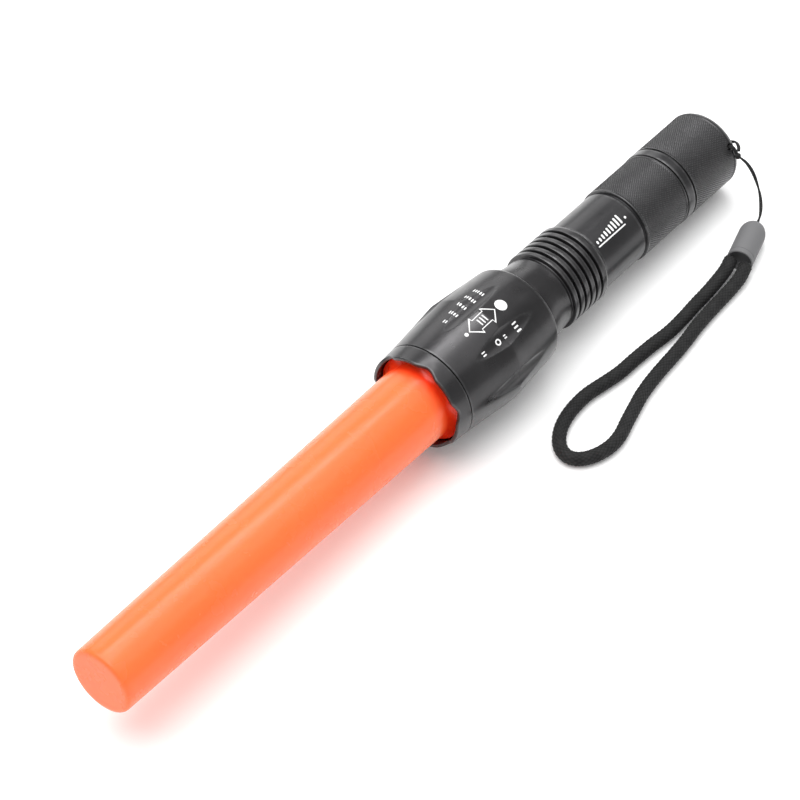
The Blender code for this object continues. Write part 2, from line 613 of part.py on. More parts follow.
def make_ferrule():
    """Make the bullet-shaped ferrule that joins the string to the wrist loop, lying on the floor."""
    top = Vector(FERRULE_TOP) * MM
    run = Vector(FERRULE_MOUTH) * MM - top
    length = run.length / MM
    nose_length = 5.2
    outline = [(nose_length * (1 + station), FERRULE_RADIUS * radius)
               for station, radius in arc((0, 0), 1, 180, 90, 6)]
    outline += [(length - 0.4, FERRULE_RADIUS), (length, FERRULE_RADIUS - 0.4), (length, 0)]
    shape = spun_shape([(-station, radius) for station, radius in outline], SMALL_SIDES)
    turn = Matrix.Rotation(atan2(run.y, run.x), 4, "Z")
    bmesh.ops.transform(shape, matrix=Matrix.Translation(top) @ turn, verts=shape.verts)
    finish_mesh("lanyard_ferrule", shape, "grey_ferrule", None)


def make_wrist_cord():
    """Make the braided loop, which leaves the ferrule and comes back to it along the floor."""
    route = [Vector(point) * MM for point in WRIST_CORD_ROUTE]
    tube("wrist_cord", smooth_route(route, 2.9 * MM), WRIST_CORD_RADIUS, "black_cord", None)


# --------------------------------------------------------------------------------------------- whole

def main():
    """Build the light as five moving bodies on one tilted axis, and lay its lanyard beside it."""
    clear_scene()
    light = empty("light_axis")
    light.matrix_world = AXIS_FRAME
    tail = empty("tail_cap_axis", light)
    button = empty("button_axis", tail)
    head = empty("zoom_head_axis", light)
    wand = empty("wand_axis", head)
    make_battery_tube(light)
    make_cell(light)
    make_neck(light)
    make_pill(light)
    make_driver(light)
    make_light_source(light)
    make_head_barrel(head)
    make_bezel(head)
    make_lens(head)
    make_wand(wand)
    make_tail_cap(tail)
    make_switch(tail)
    make_switch_boot(button)
    make_switch_plunger(button)
    make_string(tail)
    make_ferrule()
    make_wrist_cord()


main()
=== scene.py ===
"""A traffic baton light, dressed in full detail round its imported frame.

Places on the light are given by station, radius and angle: the station is the distance along the
light's axis from the tail's end face towards the wand's tip, an angle of 0 is the top, and 90 degrees
is the side that faces -Y. Stations and radii are in millimetres, angles in degrees, and the meshes
themselves are in metres.
"""

import json
import logging
from collections.abc import Callable, Sequence
from dataclasses import dataclass, field
from enum import Enum
from math import cos, degrees, pi, radians, sin
from typing import NamedTuple

import bpy
import numpy as np
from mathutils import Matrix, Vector


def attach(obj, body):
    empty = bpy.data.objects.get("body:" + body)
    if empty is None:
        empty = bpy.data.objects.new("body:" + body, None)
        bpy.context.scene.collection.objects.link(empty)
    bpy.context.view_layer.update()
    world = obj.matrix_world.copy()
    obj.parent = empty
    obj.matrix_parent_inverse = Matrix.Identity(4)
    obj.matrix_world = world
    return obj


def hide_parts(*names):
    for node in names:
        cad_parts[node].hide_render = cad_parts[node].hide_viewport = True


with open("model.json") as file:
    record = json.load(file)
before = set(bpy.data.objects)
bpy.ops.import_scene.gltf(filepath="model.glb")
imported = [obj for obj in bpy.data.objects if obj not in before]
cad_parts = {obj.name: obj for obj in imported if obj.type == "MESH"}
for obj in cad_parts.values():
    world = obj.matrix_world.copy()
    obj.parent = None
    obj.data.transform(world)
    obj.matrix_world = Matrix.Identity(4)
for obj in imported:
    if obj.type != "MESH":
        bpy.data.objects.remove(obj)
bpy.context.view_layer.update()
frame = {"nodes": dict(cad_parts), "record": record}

MM = 0.001
BEND_POINTS = 5        # points round a softened corner of an outline
Array = np.ndarray
Outline = list[tuple[float, ...]]
Colour = tuple[float, float, float]
Socket = bpy.types.NodeSocket
Relief = Callable[[Array, Array, Array], tuple[Array, Array]]
log = logging.getLogger("baton")


class Body(Enum):
    """The moving bodies that pieces ride on."""

    LIGHT = "light_body"
    HEAD = "zoom_head"
    WAND = "wand"
    TAIL = "tail_cap_assembly"
    BUTTON = "button"


@dataclass(frozen=True)
class Stations:
    """Stations where one zone of the light meets the next."""

    tail_cap_end: float = 28.0
    knurl_end: float = 50.2
    tube_end: float = 71.7
    fins_end: float = 90.2
    head_start: float = 101.7
    head_widest: float = 123.5
    head_end: float = 145.2
    bezel_end: float = 151.7
    wand_tip: float = 293.0


ZONE = Stations()
NECK_RADIUS = 14.2
LENS_BACK = ZONE.head_end - 8.7
SKIRT_RADIUS = 15.2
THREAD_BORE = 12.2
SPIGOT_RADIUS = 11.9
GAP = 0.3


# ---- places and meshes


@dataclass(frozen=True)
class Axis:
    """A line that pieces are turned about: its start and its forward, up and side directions."""

    start: Array
    forward: Array
    up: Array
    side: Array

    @classmethod
    def of_light(cls, record: dict) -> "Axis":
        """Return the light's axis, which starts at the tail's end face.

        Args:
            record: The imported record, whose wand tip mount lies on the axis.
        Returns:
            The axis, with its side direction towards -Y.
        """
        tip = next(mount for mount in record["mounts"] if mount["name"] == "wand_tip")
        forward = unit(np.array(tip["axis"], float))
        side = np.array((0.0, -1.0, 0.0))
        start = np.array(tip["pos_m"], float) - forward * ZONE.wand_tip * MM
        return cls(start, forward, np.cross(forward, side), side)

    @classmethod
    def between(cls, start: Array, end: Array) -> "Axis":
        """Return the level axis from one place to another, both in metres."""
        forward = unit(end - start)
        up = np.array((0.0, 0.0, 1.0))
        return cls(start, forward, up, np.cross(up, forward))

    def place(self, station: Array, radius: Array, angle: Array) -> Array:
        """Return places in metres: the start, moved forward by the station and out by the radius.

        Args:
            station: Distances along the axis, in millimetres.
            radius: Distances from the axis, in millimetres.
            angle: Angles from the top towards the side, in degrees.
        Returns:
            An array of the three inputs' common shape with a last axis of three.
        """
        station, radius, angle = np.broadcast_arrays(station, radius, np.radians(angle))
        across = np.cos(angle)[..., None] * self.up + np.sin(angle)[..., None] * self.side
        return self.start + MM * (station[..., None] * self.forward + radius[..., None] * across)


@dataclass
class Solid:
    """Points in metres with the faces between them, and how exposed each point is to wear; on the wand this
    sets painted shade, and on the braided cord painted highlight and shade.
    """

    points: Array
    faces: list[tuple[int, ...]]
    crest: Array

    @classmethod
    def joined(cls, solids: Sequence["Solid"]) -> "Solid":
        """Return several solids as one, without joining their surfaces."""
        faces: list[tuple[int, ...]] = []
        first = 0
        for solid in solids:
            faces += [tuple(corner + first for corner in face) for face in solid.faces]
            first += len(solid.points)
        return cls(np.concatenate([solid.points for solid in solids]), faces,
                   np.concatenate([solid.crest for solid in solids]))

    def volume(self) -> float:
        """Return the enclosed volume, as the sum of the signed cones from the middle to each face."""
        middle = self.points.mean(0)
        total = 0.0
        for size in (3, 4):
            group = [face for face in self.faces if len(face) == size]
            if group:
                corner = self.points[np.array(group)] - middle
                for last in range(2, size):
                    cross = np.cross(corner[:, last - 1], corner[:, last])
                    total += float((corner[:, 0] * cross).sum()) / 6
        return total

    def make(self, name: str, finish: "Finish", sharp: float = 40.0) -> bpy.types.Object:
        """Make the piece, with its faces outwards and smooth shading up to the sharp angle.

        Args:
            name: The piece's name.
            finish: What it is finished with.
            sharp: The angle between faces, in degrees, from which an edge is sharp.
        Returns:
            The new object, at the origin.
        """
        outward = self.volume() > 0
        faces = self.faces if outward else [face[::-1] for face in self.faces]
        mesh = bpy.data.meshes.new(name)
        mesh.from_pydata(self.points.tolist(), [], faces)
        mesh.update()
        crest = mesh.attributes.new("crest", "FLOAT", "POINT")
        crest.data.foreach_set("value", self.crest.astype(np.float32))
        mesh.shade_smooth()
        mesh.set_sharp_from_angle(angle=radians(sharp))
        mesh.materials.append(finish.material())
        log.info("%s: %d faces", name, len(faces))
        return add_object(name, mesh)


def travelled(line: Array) -> Array:
    """Return the distance travelled along a line at each of its points."""
    return np.append(0, np.cumsum(np.linalg.norm(np.diff(line, axis=0), axis=1)))


def circle(count: int) -> Array:
    """Return points of a unit circle, each as its cosine and its sine."""
    turn = np.linspace(0, 2 * pi, count, endpoint=False)
    return np.stack([np.cos(turn), np.sin(turn)], -1)


def unit(vectors: Array) -> Array:
    """Return vectors at a length of 1."""
    return vectors / np.linalg.norm(vectors, axis=-1, keepdims=True)


def add_object(name: str, data: bpy.types.ID) -> bpy.types.Object:
    """Put a new object in the scene, at the origin."""
    item = bpy.data.objects.new(name, data)
    bpy.context.scene.collection.objects.link(item)
    return item


def grid_faces(rows: int, columns: int, wrap_rows: bool, wrap_columns: bool) -> list[tuple[int, ...]]:
    """Return the four-sided faces between neighbouring points of a grid.

    Args:
        rows: The number of rows.
        columns: The number of points in a row.
        wrap_rows: Whether the last row joins the first.
        wrap_columns: Whether the last column joins the first.
    Returns:
        The faces as tuples of point numbers.
    """
    row, column = np.meshgrid(np.arange(rows if wrap_rows else rows - 1),
                              np.arange(columns if wrap_columns else columns - 1), indexing="ij")
    below, beside = (row + 1) % rows, (column + 1) % columns
    corners = (row * columns + column, below * columns + column, below * columns + beside,
               row * columns + beside)
    return list(map(tuple, np.stack(corners, -1).reshape(-1, 4).tolist()))


def skin(grid: Array, crest: Array, closed: bool, ends: Array | None = None) -> Solid:
    """Return the closed solid over a grid of rings: a loop of rings, or a row of rings with two end points.

    Args:
        grid: Ring points, of shape (rings, points per ring, 3), in metres.
        crest: How exposed each point is, of the grid's first two sizes.
        closed: Whether the last ring joins the first.
        ends: The two points that close an open row of rings.
    Returns:
        The solid.
    """
    rings, around = grid.shape[:2]
    faces = grid_faces(rings, around, closed, True)
    points, worn = grid.reshape(-1, 3), crest.reshape(-1)
    if not closed:
        here = np.arange(around)
        following = (here + 1) % around
        first, last = rings * around, rings * around + 1
        base = (rings - 1) * around
        faces += [(first, a, b) for a, b in zip(here.tolist(), following.tolist())]
        faces += [(last, b + base, a + base) for a, b in zip(here.tolist(), following.tolist())]
        points = np.concatenate([points, ends])
        worn = np.append(worn, (0.0, 0.0))
    return Solid(points, faces, worn)


class Corner(NamedTuple):
    """A corner of an outline: its place, how much it is softened, and the spacing of points after it."""

    station: float
    radius: float
    soft: float = 0.15
    step: float = 0.8


def groove(start: float, end: float, top: float, floor: float, lip: float = 0.1,
           step: float = 0.8) -> Outline:
    """Return the four corners of a square groove.

    Args:
        start: The station where it starts.
        end: The station where it ends.
        top: The radius outside it.
        floor: The radius of its floor.
        lip: How much its two outer edges are softened.
        step: The spacing of points after it.
    Returns:
        The corners, in the order of their stations.
    """
    return [(start, top, lip), (start, floor, 0.1), (end, floor, 0.1), (end, top, lip, step)]


def curve(stations: Array, radii: Array, soft: float = 0.0) -> Outline:
    """Return corners along a computed curve, all softened alike."""
    return [(float(station), float(radius), soft) for station, radius in zip(stations, radii)]


def soft_outline(outline: Outline, closed: bool) -> tuple[Array, Array]:
    """Return an outline with softened corners.

    A corner becomes the curve that starts and ends at its softening distance on both sides and is
    drawn towards the corner: start times (1-t) squared, plus corner times 2t(1-t), plus end times t
    squared. The straight runs between are divided evenly.

    Args:
        outline: The corners in order, clockwise in the plane of station and radius.
        closed: Whether the last corner joins the first.
    Returns:
        The points as (station, radius), and how exposed each is: 1 on an outer edge, 0 elsewhere.
    """
    corners = [Corner(*values) for values in outline]
    bends: list[Array] = []
    edges: list[float] = []
    for index, corner in enumerate(corners):
        here = np.array(corner[:2], float)
        if not closed and index in (0, len(corners) - 1):
            bends.append(here[None])
            edges.append(0.0)
            continue
        back = np.array(corners[index - 1][:2], float) - here
        ahead = np.array(corners[(index + 1) % len(corners)][:2], float) - here
        far_back, far_ahead = np.linalg.norm(back), np.linalg.norm(ahead)
        turn = (ahead[0] * back[1] - ahead[1] * back[0]) / (far_back * far_ahead)
        reach = min(corner.soft, 0.45 * far_back, 0.45 * far_ahead)
        share = np.linspace(0, 1, BEND_POINTS if reach > 0 else 1)[:, None]
        start, end = here + back / far_back * reach, here + ahead / far_ahead * reach
        bends.append((1 - share) ** 2 * start + 2 * share * (1 - share) * here + share ** 2 * end)
        edges.append(float(np.clip(-2 * turn - 0.6, 0, 1)) if reach > 0 else 0.0)
    points, crest = [], []
    for index, bend in enumerate(bends):
        points.append(bend)
        crest.append(np.full(len(bend), edges[index]))
        if not closed and index == len(bends) - 1:
            break
        following = bends[(index + 1) % len(bends)][0]
        count = max(1, round(float(np.linalg.norm(following - bend[-1])) / corners[index].step))
        share = np.linspace(0, 1, count + 1)[1:-1, None]
        points.append(bend[-1] + (following - bend[-1]) * share)
        crest.append(np.zeros(count - 1))
    return np.concatenate(points), np.concatenate(crest)


@dataclass
class Turned:
    """A piece turned about an axis: its outline carried round, with relief pressed into its surface."""

    corners: Outline
    columns: int = 96
    closed: bool = True
    relief: Relief | None = None
    slide: Callable[[Array, Array], Array] | None = None
    angles: Callable[[Array], Array] | None = None

    def solid(self, axis: Axis) -> Solid:
        """Return the turned solid: station, radius and angle on a grid, placed about the axis.

        Args:
            axis: The axis that it is turned about.
        Returns:
            The closed solid.
        """
        outline, edge = soft_outline(self.corners, self.closed)
        rows = outline if self.closed else outline[1:-1]
        worn = edge if self.closed else edge[1:-1]
        station, radius = rows[:, :1], rows[:, 1:]
        spread = np.arange(self.columns) * 360 / self.columns
        angle = self.angles(station) if self.angles else np.broadcast_to(spread, (len(rows), self.columns))
        crest = np.broadcast_to(worn[:, None], angle.shape)
        station = np.broadcast_to(station, angle.shape)
        radius = np.broadcast_to(radius, angle.shape)
        if self.relief:
            change, shine = self.relief(station, radius, angle)
            radius, crest = radius + change, np.maximum(crest, shine)
        if self.slide:
            station = station + self.slide(station, angle)
        grid = axis.place(station, radius, angle)
        ends = None if self.closed else axis.place(outline[[0, -1], 0], np.zeros(2), np.zeros(2))
        return skin(grid, crest, self.closed, ends)


def nearest(angle: Array, count: int, phase: float) -> Array:
    """Return the angle from the nearest of evenly spaced middles, the first of which lies at the phase."""
    spacing = 360 / count
    return (angle - phase + spacing / 2) % spacing - spacing / 2


def fade(station: Array, start: float, end: float, run: float) -> Array:
    """Return 1 between two stations and 0 outside them, changing evenly over the run at each."""
    return np.clip(np.minimum(station - start, end - station) / run, 0, 1)


@dataclass(frozen=True)
class Knurl:
    """A band of small diamonds, between two families of helical grooves."""

    start: float
    end: float
    radius: float
    around: int = 96
    along: int = 24
    depth: float = 0.26
    flat: float = 1.3

    def step(self) -> float:
        """Return the spacing of rows that puts four on each diamond."""
        return (self.end - self.start) / (4 * self.along)

    def relief(self, station: Array, radius: Array, angle: Array) -> tuple[Array, Array]:
        """Return how far the grooves lower the surface, and how exposed the diamonds are.

        Turns round plus turns along number one family of grooves, and their difference the other.
        The height rises with the distance to the nearer groove until it is cut off flat.
        """
        turned = self.around * angle / 360
        moved = self.along * (station - self.start) / (self.end - self.start)
        near = [np.abs(count - np.round(count)) for count in (turned + moved, turned - moved)]
        height = np.minimum(1, 2 * self.flat * np.minimum(*near))
        band = fade(station, self.start, self.end, 0.25) * (radius > self.radius - 0.05)
        return -self.depth * (1 - height) * band, 0.75 * band * np.clip(height * 2 - 1, 0, 1)


@dataclass(frozen=True)
class Thread:
    """A screw thread: one ridge that climbs by its pitch on each turn."""

    start: float
    end: float
    radius: float
    pitch: float = 1.0
    depth: float = 0.45

    def relief(self, station: Array, radius: Array, angle: Array) -> tuple[Array, Array]:
        """Return how far the thread lowers the surface: a cosine of the turns along plus round."""
        ridge = (1 + np.cos(2 * pi * (station / self.pitch + angle / 360))) / 2
        band = fade(station, self.start, self.end, self.pitch) * (np.abs(radius - self.radius) < 0.05)
        return -self.depth * (1 - ridge) * band, 0.6 * ridge * band


def combined(*features: Knurl | Thread) -> Relief:
    """Return the relief of several bands of features together."""

    def relief(station: Array, radius: Array, angle: Array) -> tuple[Array, Array]:
        """Return the sum of the features' changes and the largest of their shines."""
        parts = [feature.relief(station, radius, angle) for feature in features]
        return sum(part[0] for part in parts), np.maximum.reduce([part[1] for part in parts])

    return relief


# ---- finishes


class Board:
    """A material under construction, with its Principled shader."""

    def __init__(self, name: str) -> None:
        """Start an empty material with its shader and output."""
        self.material = bpy.data.materials.new(name)
        self.material.use_nodes = True
        self.tree = self.material.node_tree
        self.shader = self.tree.nodes["Principled BSDF"]
        self.coordinates = self.tree.nodes.new("ShaderNodeTexCoord").outputs["Object"]

    def set(self, **values: object) -> None:
        """Set the shader's own sockets, with underscores for the spaces in their names."""
        for name, value in values.items():
            self.shader.inputs[name.replace("_", " ")].default_value = value

    def link(self, source: Socket, name: str) -> None:
        """Join a socket to one of the shader's inputs."""
        self.tree.links.new(source, self.shader.inputs[name])

    def node(self, kind: str, sources: dict[str | int, Socket], **values: object) -> bpy.types.Node:
        """Add a node.

        Args:
            kind: Its type's name after the words that all shader nodes start with.
            sources: The socket that is joined to each of its inputs.
            values: Constant values of its other inputs, with underscores for spaces.
        Returns:
            The new node.
        """
        node = self.tree.nodes.new("ShaderNode" + kind)
        for name, source in sources.items():
            self.tree.links.new(source, node.inputs[name])
        for name, value in values.items():
            node.inputs[name.replace("_", " ")].default_value = value
        return node

    def noise(self, scale: float, detail: float = 3.0, stretch: Sequence[float] = (1, 1, 1)) -> Socket:
        """Return a noise of a number of cells to the metre, optionally stretched."""
        mapping = self.node("Mapping", {"Vector": self.coordinates}, Scale=stretch)
        places = {"Vector": mapping.outputs["Vector"]}
        return self.node("TexNoise", places, Scale=scale, Detail=detail).outputs["Fac"]

    def cells(self, scale: float) -> Socket:
        """Return the distance to the nearest of scattered points, a number of them to the metre."""
        return self.node("TexVoronoi", {"Vector": self.coordinates}, Scale=scale).outputs["Distance"]

    def crest(self) -> Socket:
        """Return how exposed the surface is to wear; on the wand it sets painted shade, and on the braided
        cord painted highlight and shade.
        """
        attribute = self.node("Attribute", {})
        attribute.attribute_name = "crest"
        return attribute.outputs["Fac"]

    def spread(self, source: Socket, low: float, high: float, start: float = 0.3, end: float = 0.7) -> Socket:
        """Return a source mapped so that start gives low and end gives high."""
        node = self.node("MapRange", {"Value": source}, From_Min=start, From_Max=end, To_Min=low, To_Max=high)
        return node.outputs["Result"]

    def product(self, first: Socket, second: Socket) -> Socket:
        """Return two numbers multiplied."""
        node = self.node("Math", {0: first, 1: second})
        node.operation = "MULTIPLY"
        return node.outputs["Value"]

    def mix(self, share: Socket, first: Colour | Socket, second: Colour | Socket) -> Socket:
        """Return a colour between two, the second at a share of 1."""
        node = self.node("Mix", {"Factor": share})
        node.data_type = "RGBA"
        for index, colour in ((6, first), (7, second)):
            if isinstance(colour, Socket):
                self.tree.links.new(colour, node.inputs[index])
            else:
                node.inputs[index].default_value = (*colour, 1)
        return node.outputs[2]

    def bump(self, height: Socket, distance: float) -> None:
        """Raise the surface by a height, where a height of 1 is the distance in metres."""
        self.link(self.node("Bump", {"Height": height}, Distance=distance).outputs["Normal"], "Normal")


@dataclass(frozen=True)
class Finish:
    """A finish with a mottled colour, uneven gloss and a fine grain."""

    name: str
    colour: Colour
    pale: Colour
    rough: tuple[float, float] = (0.4, 0.55)
    metal: float = 0.0
    mottle: float = 60.0
    grain: float = 2500.0
    grain_height: float = 0.00001
    worn: Colour | None = None
    settings: tuple[tuple[str, float], ...] = ()
    gloss: tuple[float, float] = (3, 4)     # the gloss noise's scale in mottles, and its detail

    def material(self) -> bpy.types.Material:
        """Return the finish's material, made once."""
        return bpy.data.materials.get(self.name) or self.build()

    def build(self) -> bpy.types.Material:
        """Make the material: its settings, its own colour and height, and an uneven gloss."""
        board = Board(self.name)
        board.set(Metallic=self.metal, **dict(self.settings))
        colour, height = self.paint(board)
        board.link(colour, "Base Color")
        scale, detail = self.gloss
        board.link(board.spread(board.noise(self.mottle * scale, detail), *self.rough), "Roughness")
        if height:
            board.bump(height, self.grain_height)
        return board.material

    def blend(self, board: Board, noise: Socket) -> Socket:
        """Return the finish's two colours, mixed by a noise."""
        return board.mix(board.spread(noise, 0, 1), self.colour, self.pale)

    def paint(self, board: Board) -> tuple[Socket, Socket | None]:
        """Return the colour, from mottling and wear, and the height, from a fine grain.

        Args:
            board: The material under construction.
        Returns:
            The sockets of the colour and the height.
        """
        colour = self.blend(board, board.noise(self.mottle, 4))
        if self.worn:
            wear = board.product(board.crest(), board.spread(board.noise(self.mottle * 12), 0.25, 1))
            colour = board.mix(wear, colour, self.worn)
        return colour, board.noise(self.grain, 2)


@dataclass(frozen=True)
class Diffuser(Finish):
    """Translucent plastic that light spreads through, with the soft waves of its moulding."""

    gloss: tuple[float, float] = (1, 3)
    depth: float = 0.004
    # painted shade: the deeper red-orange of the base where it sits shaded inside the bezel
    painted_shade: Colour = (0.9, 0.05, 0.01)

    def paint(self, board: Board) -> tuple[Socket, Socket | None]:
        """Let light scatter under the surface, and paint shade as a deeper colour where the crest is high, at
        the base inside the bezel.
        """
        board.set(Subsurface_Weight=0.3, Subsurface_Radius=(1.0, 0.35, 0.12), Subsurface_Scale=self.depth,
                  IOR=1.49, Specular_IOR_Level=0.34)
        flow = self.blend(board, board.noise(45, stretch=(0.25, 1, 1)))
        return board.mix(board.crest(), flow, self.painted_shade), board.noise(self.grain, 2)


@dataclass(frozen=True)
class Glass(Finish):
    """Clear glass with the faintest unevenness of polish."""

    gloss: tuple[float, float] = (4, 3)

    def paint(self, board: Board) -> tuple[Socket, Socket | None]:
        """Let light pass through, with no height of its own."""
        board.set(Transmission_Weight=1.0, IOR=1.5)
        return self.blend(board, board.noise(self.mottle)), None


@dataclass(frozen=True)
class Yarn(Finish):
    """Spun threads with fine fibres: paler as a painted highlight where a strand stands up, darker as painted
    shade between strands.
    """

    gloss: tuple[float, float] = (1, 3)

    def paint(self, board: Board) -> tuple[Socket, Socket | None]:
        """Colour the threads by the strands' height times a fibre noise, which paints a highlight on strand
        tops and shade between them; the fibre noise is also the height.
        """
        board.set(Sheen_Weight=0.05, Sheen_Roughness=0.5, Specular_IOR_Level=0.3)
        fibres = board.noise(self.grain)
        height = board.product(board.crest(), board.spread(fibres, 0.55, 1.0))
        return board.mix(height, self.colour, self.pale), fibres


@dataclass(frozen=True)
class Circuit(Finish):
    """A circuit board: solder mask with paler tracks and small bright pads."""

    gloss: tuple[float, float] = (5, 3)
    pads: float = 420.0
    pad_colour: Colour = (0.75, 0.6, 0.35)

    def paint(self, board: Board) -> tuple[Socket, Socket | None]:
        """Put pads at scattered points, and raised tracks where a noise crosses its middle."""
        tracks = board.spread(board.noise(self.mottle, 1), 0, 1, 0.49, 0.51)
        mask = board.mix(tracks, self.colour, self.pale)
        pad = board.spread(board.cells(self.pads), 1, 0, 0.16, 0.2)
        board.link(pad, "Metallic")
        return board.mix(pad, mask, self.pad_colour), tracks


OXIDE_COAT = (("Coat_Weight", 0.3), ("Coat_Roughness", 0.2), ("Coat_IOR", 1.6))
ANODISED = Finish("black_anodising", (0.024, 0.0232, 0.0245), (0.042, 0.0405, 0.0425), (0.26, 0.36), 0.85, 70,
                  9000, 0.000004, (0.075, 0.075, 0.077), OXIDE_COAT)
KNURLED = Finish("knurled_anodising", (0.026, 0.0255, 0.027), (0.040, 0.039, 0.041), (0.3, 0.4), 0.85, 90,
                 9000, 0.000004, (0.1, 0.1, 0.102), OXIDE_COAT)
ORANGE = Diffuser("orange_diffuser_plastic", (1.0, 0.160, 0.039), (1.0, 0.174, 0.047), (0.23, 0.29), 0.0, 120,
                  1800, 0.000005, painted_shade=(0.9, 0.035, 0.006))
LENS_GLASS = Glass("lens_glass", (0.93, 0.97, 1.0), (0.96, 0.99, 1.0), (0.02, 0.05), mottle=40)
BOOT = Finish("boot_rubber", (0.020, 0.020, 0.021), (0.032, 0.032, 0.033), (0.6, 0.75), 0.0, 300, 3500,
              0.00003)
SEAL = Finish("seal_rubber", (0.016, 0.016, 0.017), (0.028, 0.028, 0.03), (0.45, 0.6), 0.0, 400, 5000)
BARE = Finish("turned_aluminium", (0.66, 0.66, 0.68), (0.78, 0.78, 0.79), (0.22, 0.36), 1.0, 150, 7000,
              0.000015)
STEEL = Finish("spring_steel", (0.55, 0.55, 0.54), (0.72, 0.72, 0.7), (0.18, 0.32), 1.0, 300, 6000)
GILT = Finish("gilt_wire", (0.78, 0.52, 0.18), (0.92, 0.7, 0.32), (0.18, 0.3), 1.0, 300, 6000)
GREEN_BOARD = Circuit("driver_board_mask", (0.012, 0.11, 0.035), (0.03, 0.2, 0.07), (0.3, 0.45), mottle=260)
WHITE_BOARD = Circuit("star_board_mask", (0.8, 0.8, 0.78), (0.86, 0.86, 0.84), (0.3, 0.45), mottle=200,
                      pads=300.0)
BLACK_PLASTIC = Finish("black_plastic", (0.018, 0.018, 0.019), (0.03, 0.03, 0.031), mottle=300, grain=4000)
WHITE_PLASTIC = Finish("white_plastic", (0.74, 0.74, 0.71), (0.82, 0.82, 0.8), mottle=300, grain=3000)
PHOSPHOR = Finish("yellow_phosphor", (0.75, 0.55, 0.04), (0.9, 0.75, 0.12), mottle=1800, grain=9000)
CELL_WRAP = Finish("cell_wrap", (0.05, 0.16, 0.42), (0.07, 0.2, 0.5), (0.18, 0.3), 0.0, 120, 900, 0.00002)
RED_WIRE = Finish("red_insulation", (0.5, 0.02, 0.02), (0.62, 0.05, 0.04), (0.3, 0.45), mottle=500)
FERRULE = Finish("ferrule_grey", (0.021, 0.021, 0.0217), (0.031, 0.031, 0.032), (0.6, 0.75), 0.0, 700, 2600,
                 0.00006, (0.07, 0.07, 0.072), (("Specular_IOR_Level", 0.2),))
BRAID = Yarn("braided_cord", (0.003, 0.003, 0.003), (0.02, 0.02, 0.0205), (0.65, 0.85), 0.0, 400, 5200,
             0.00004)
THREAD_YARN = Yarn("string_yarn", (0.004, 0.004, 0.004), (0.016, 0.016, 0.0165), (0.6, 0.8), 0.0, 600, 9000,
                   0.00002)
PRINT = Finish("white_print", (0.8, 0.8, 0.8), (0.88, 0.88, 0.88), (0.4, 0.55), 0.0, 900, 8000, 0.000004)


def settle(piece: bpy.types.Object, body: Body, slot: str, *nodes: str) -> bpy.types.Object:
    """Let a piece ride on its body and stand for the nodes that it replaces."""
    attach(piece, body.value)
    if nodes:
        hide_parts(*nodes)
    return piece


# ---- tail cap


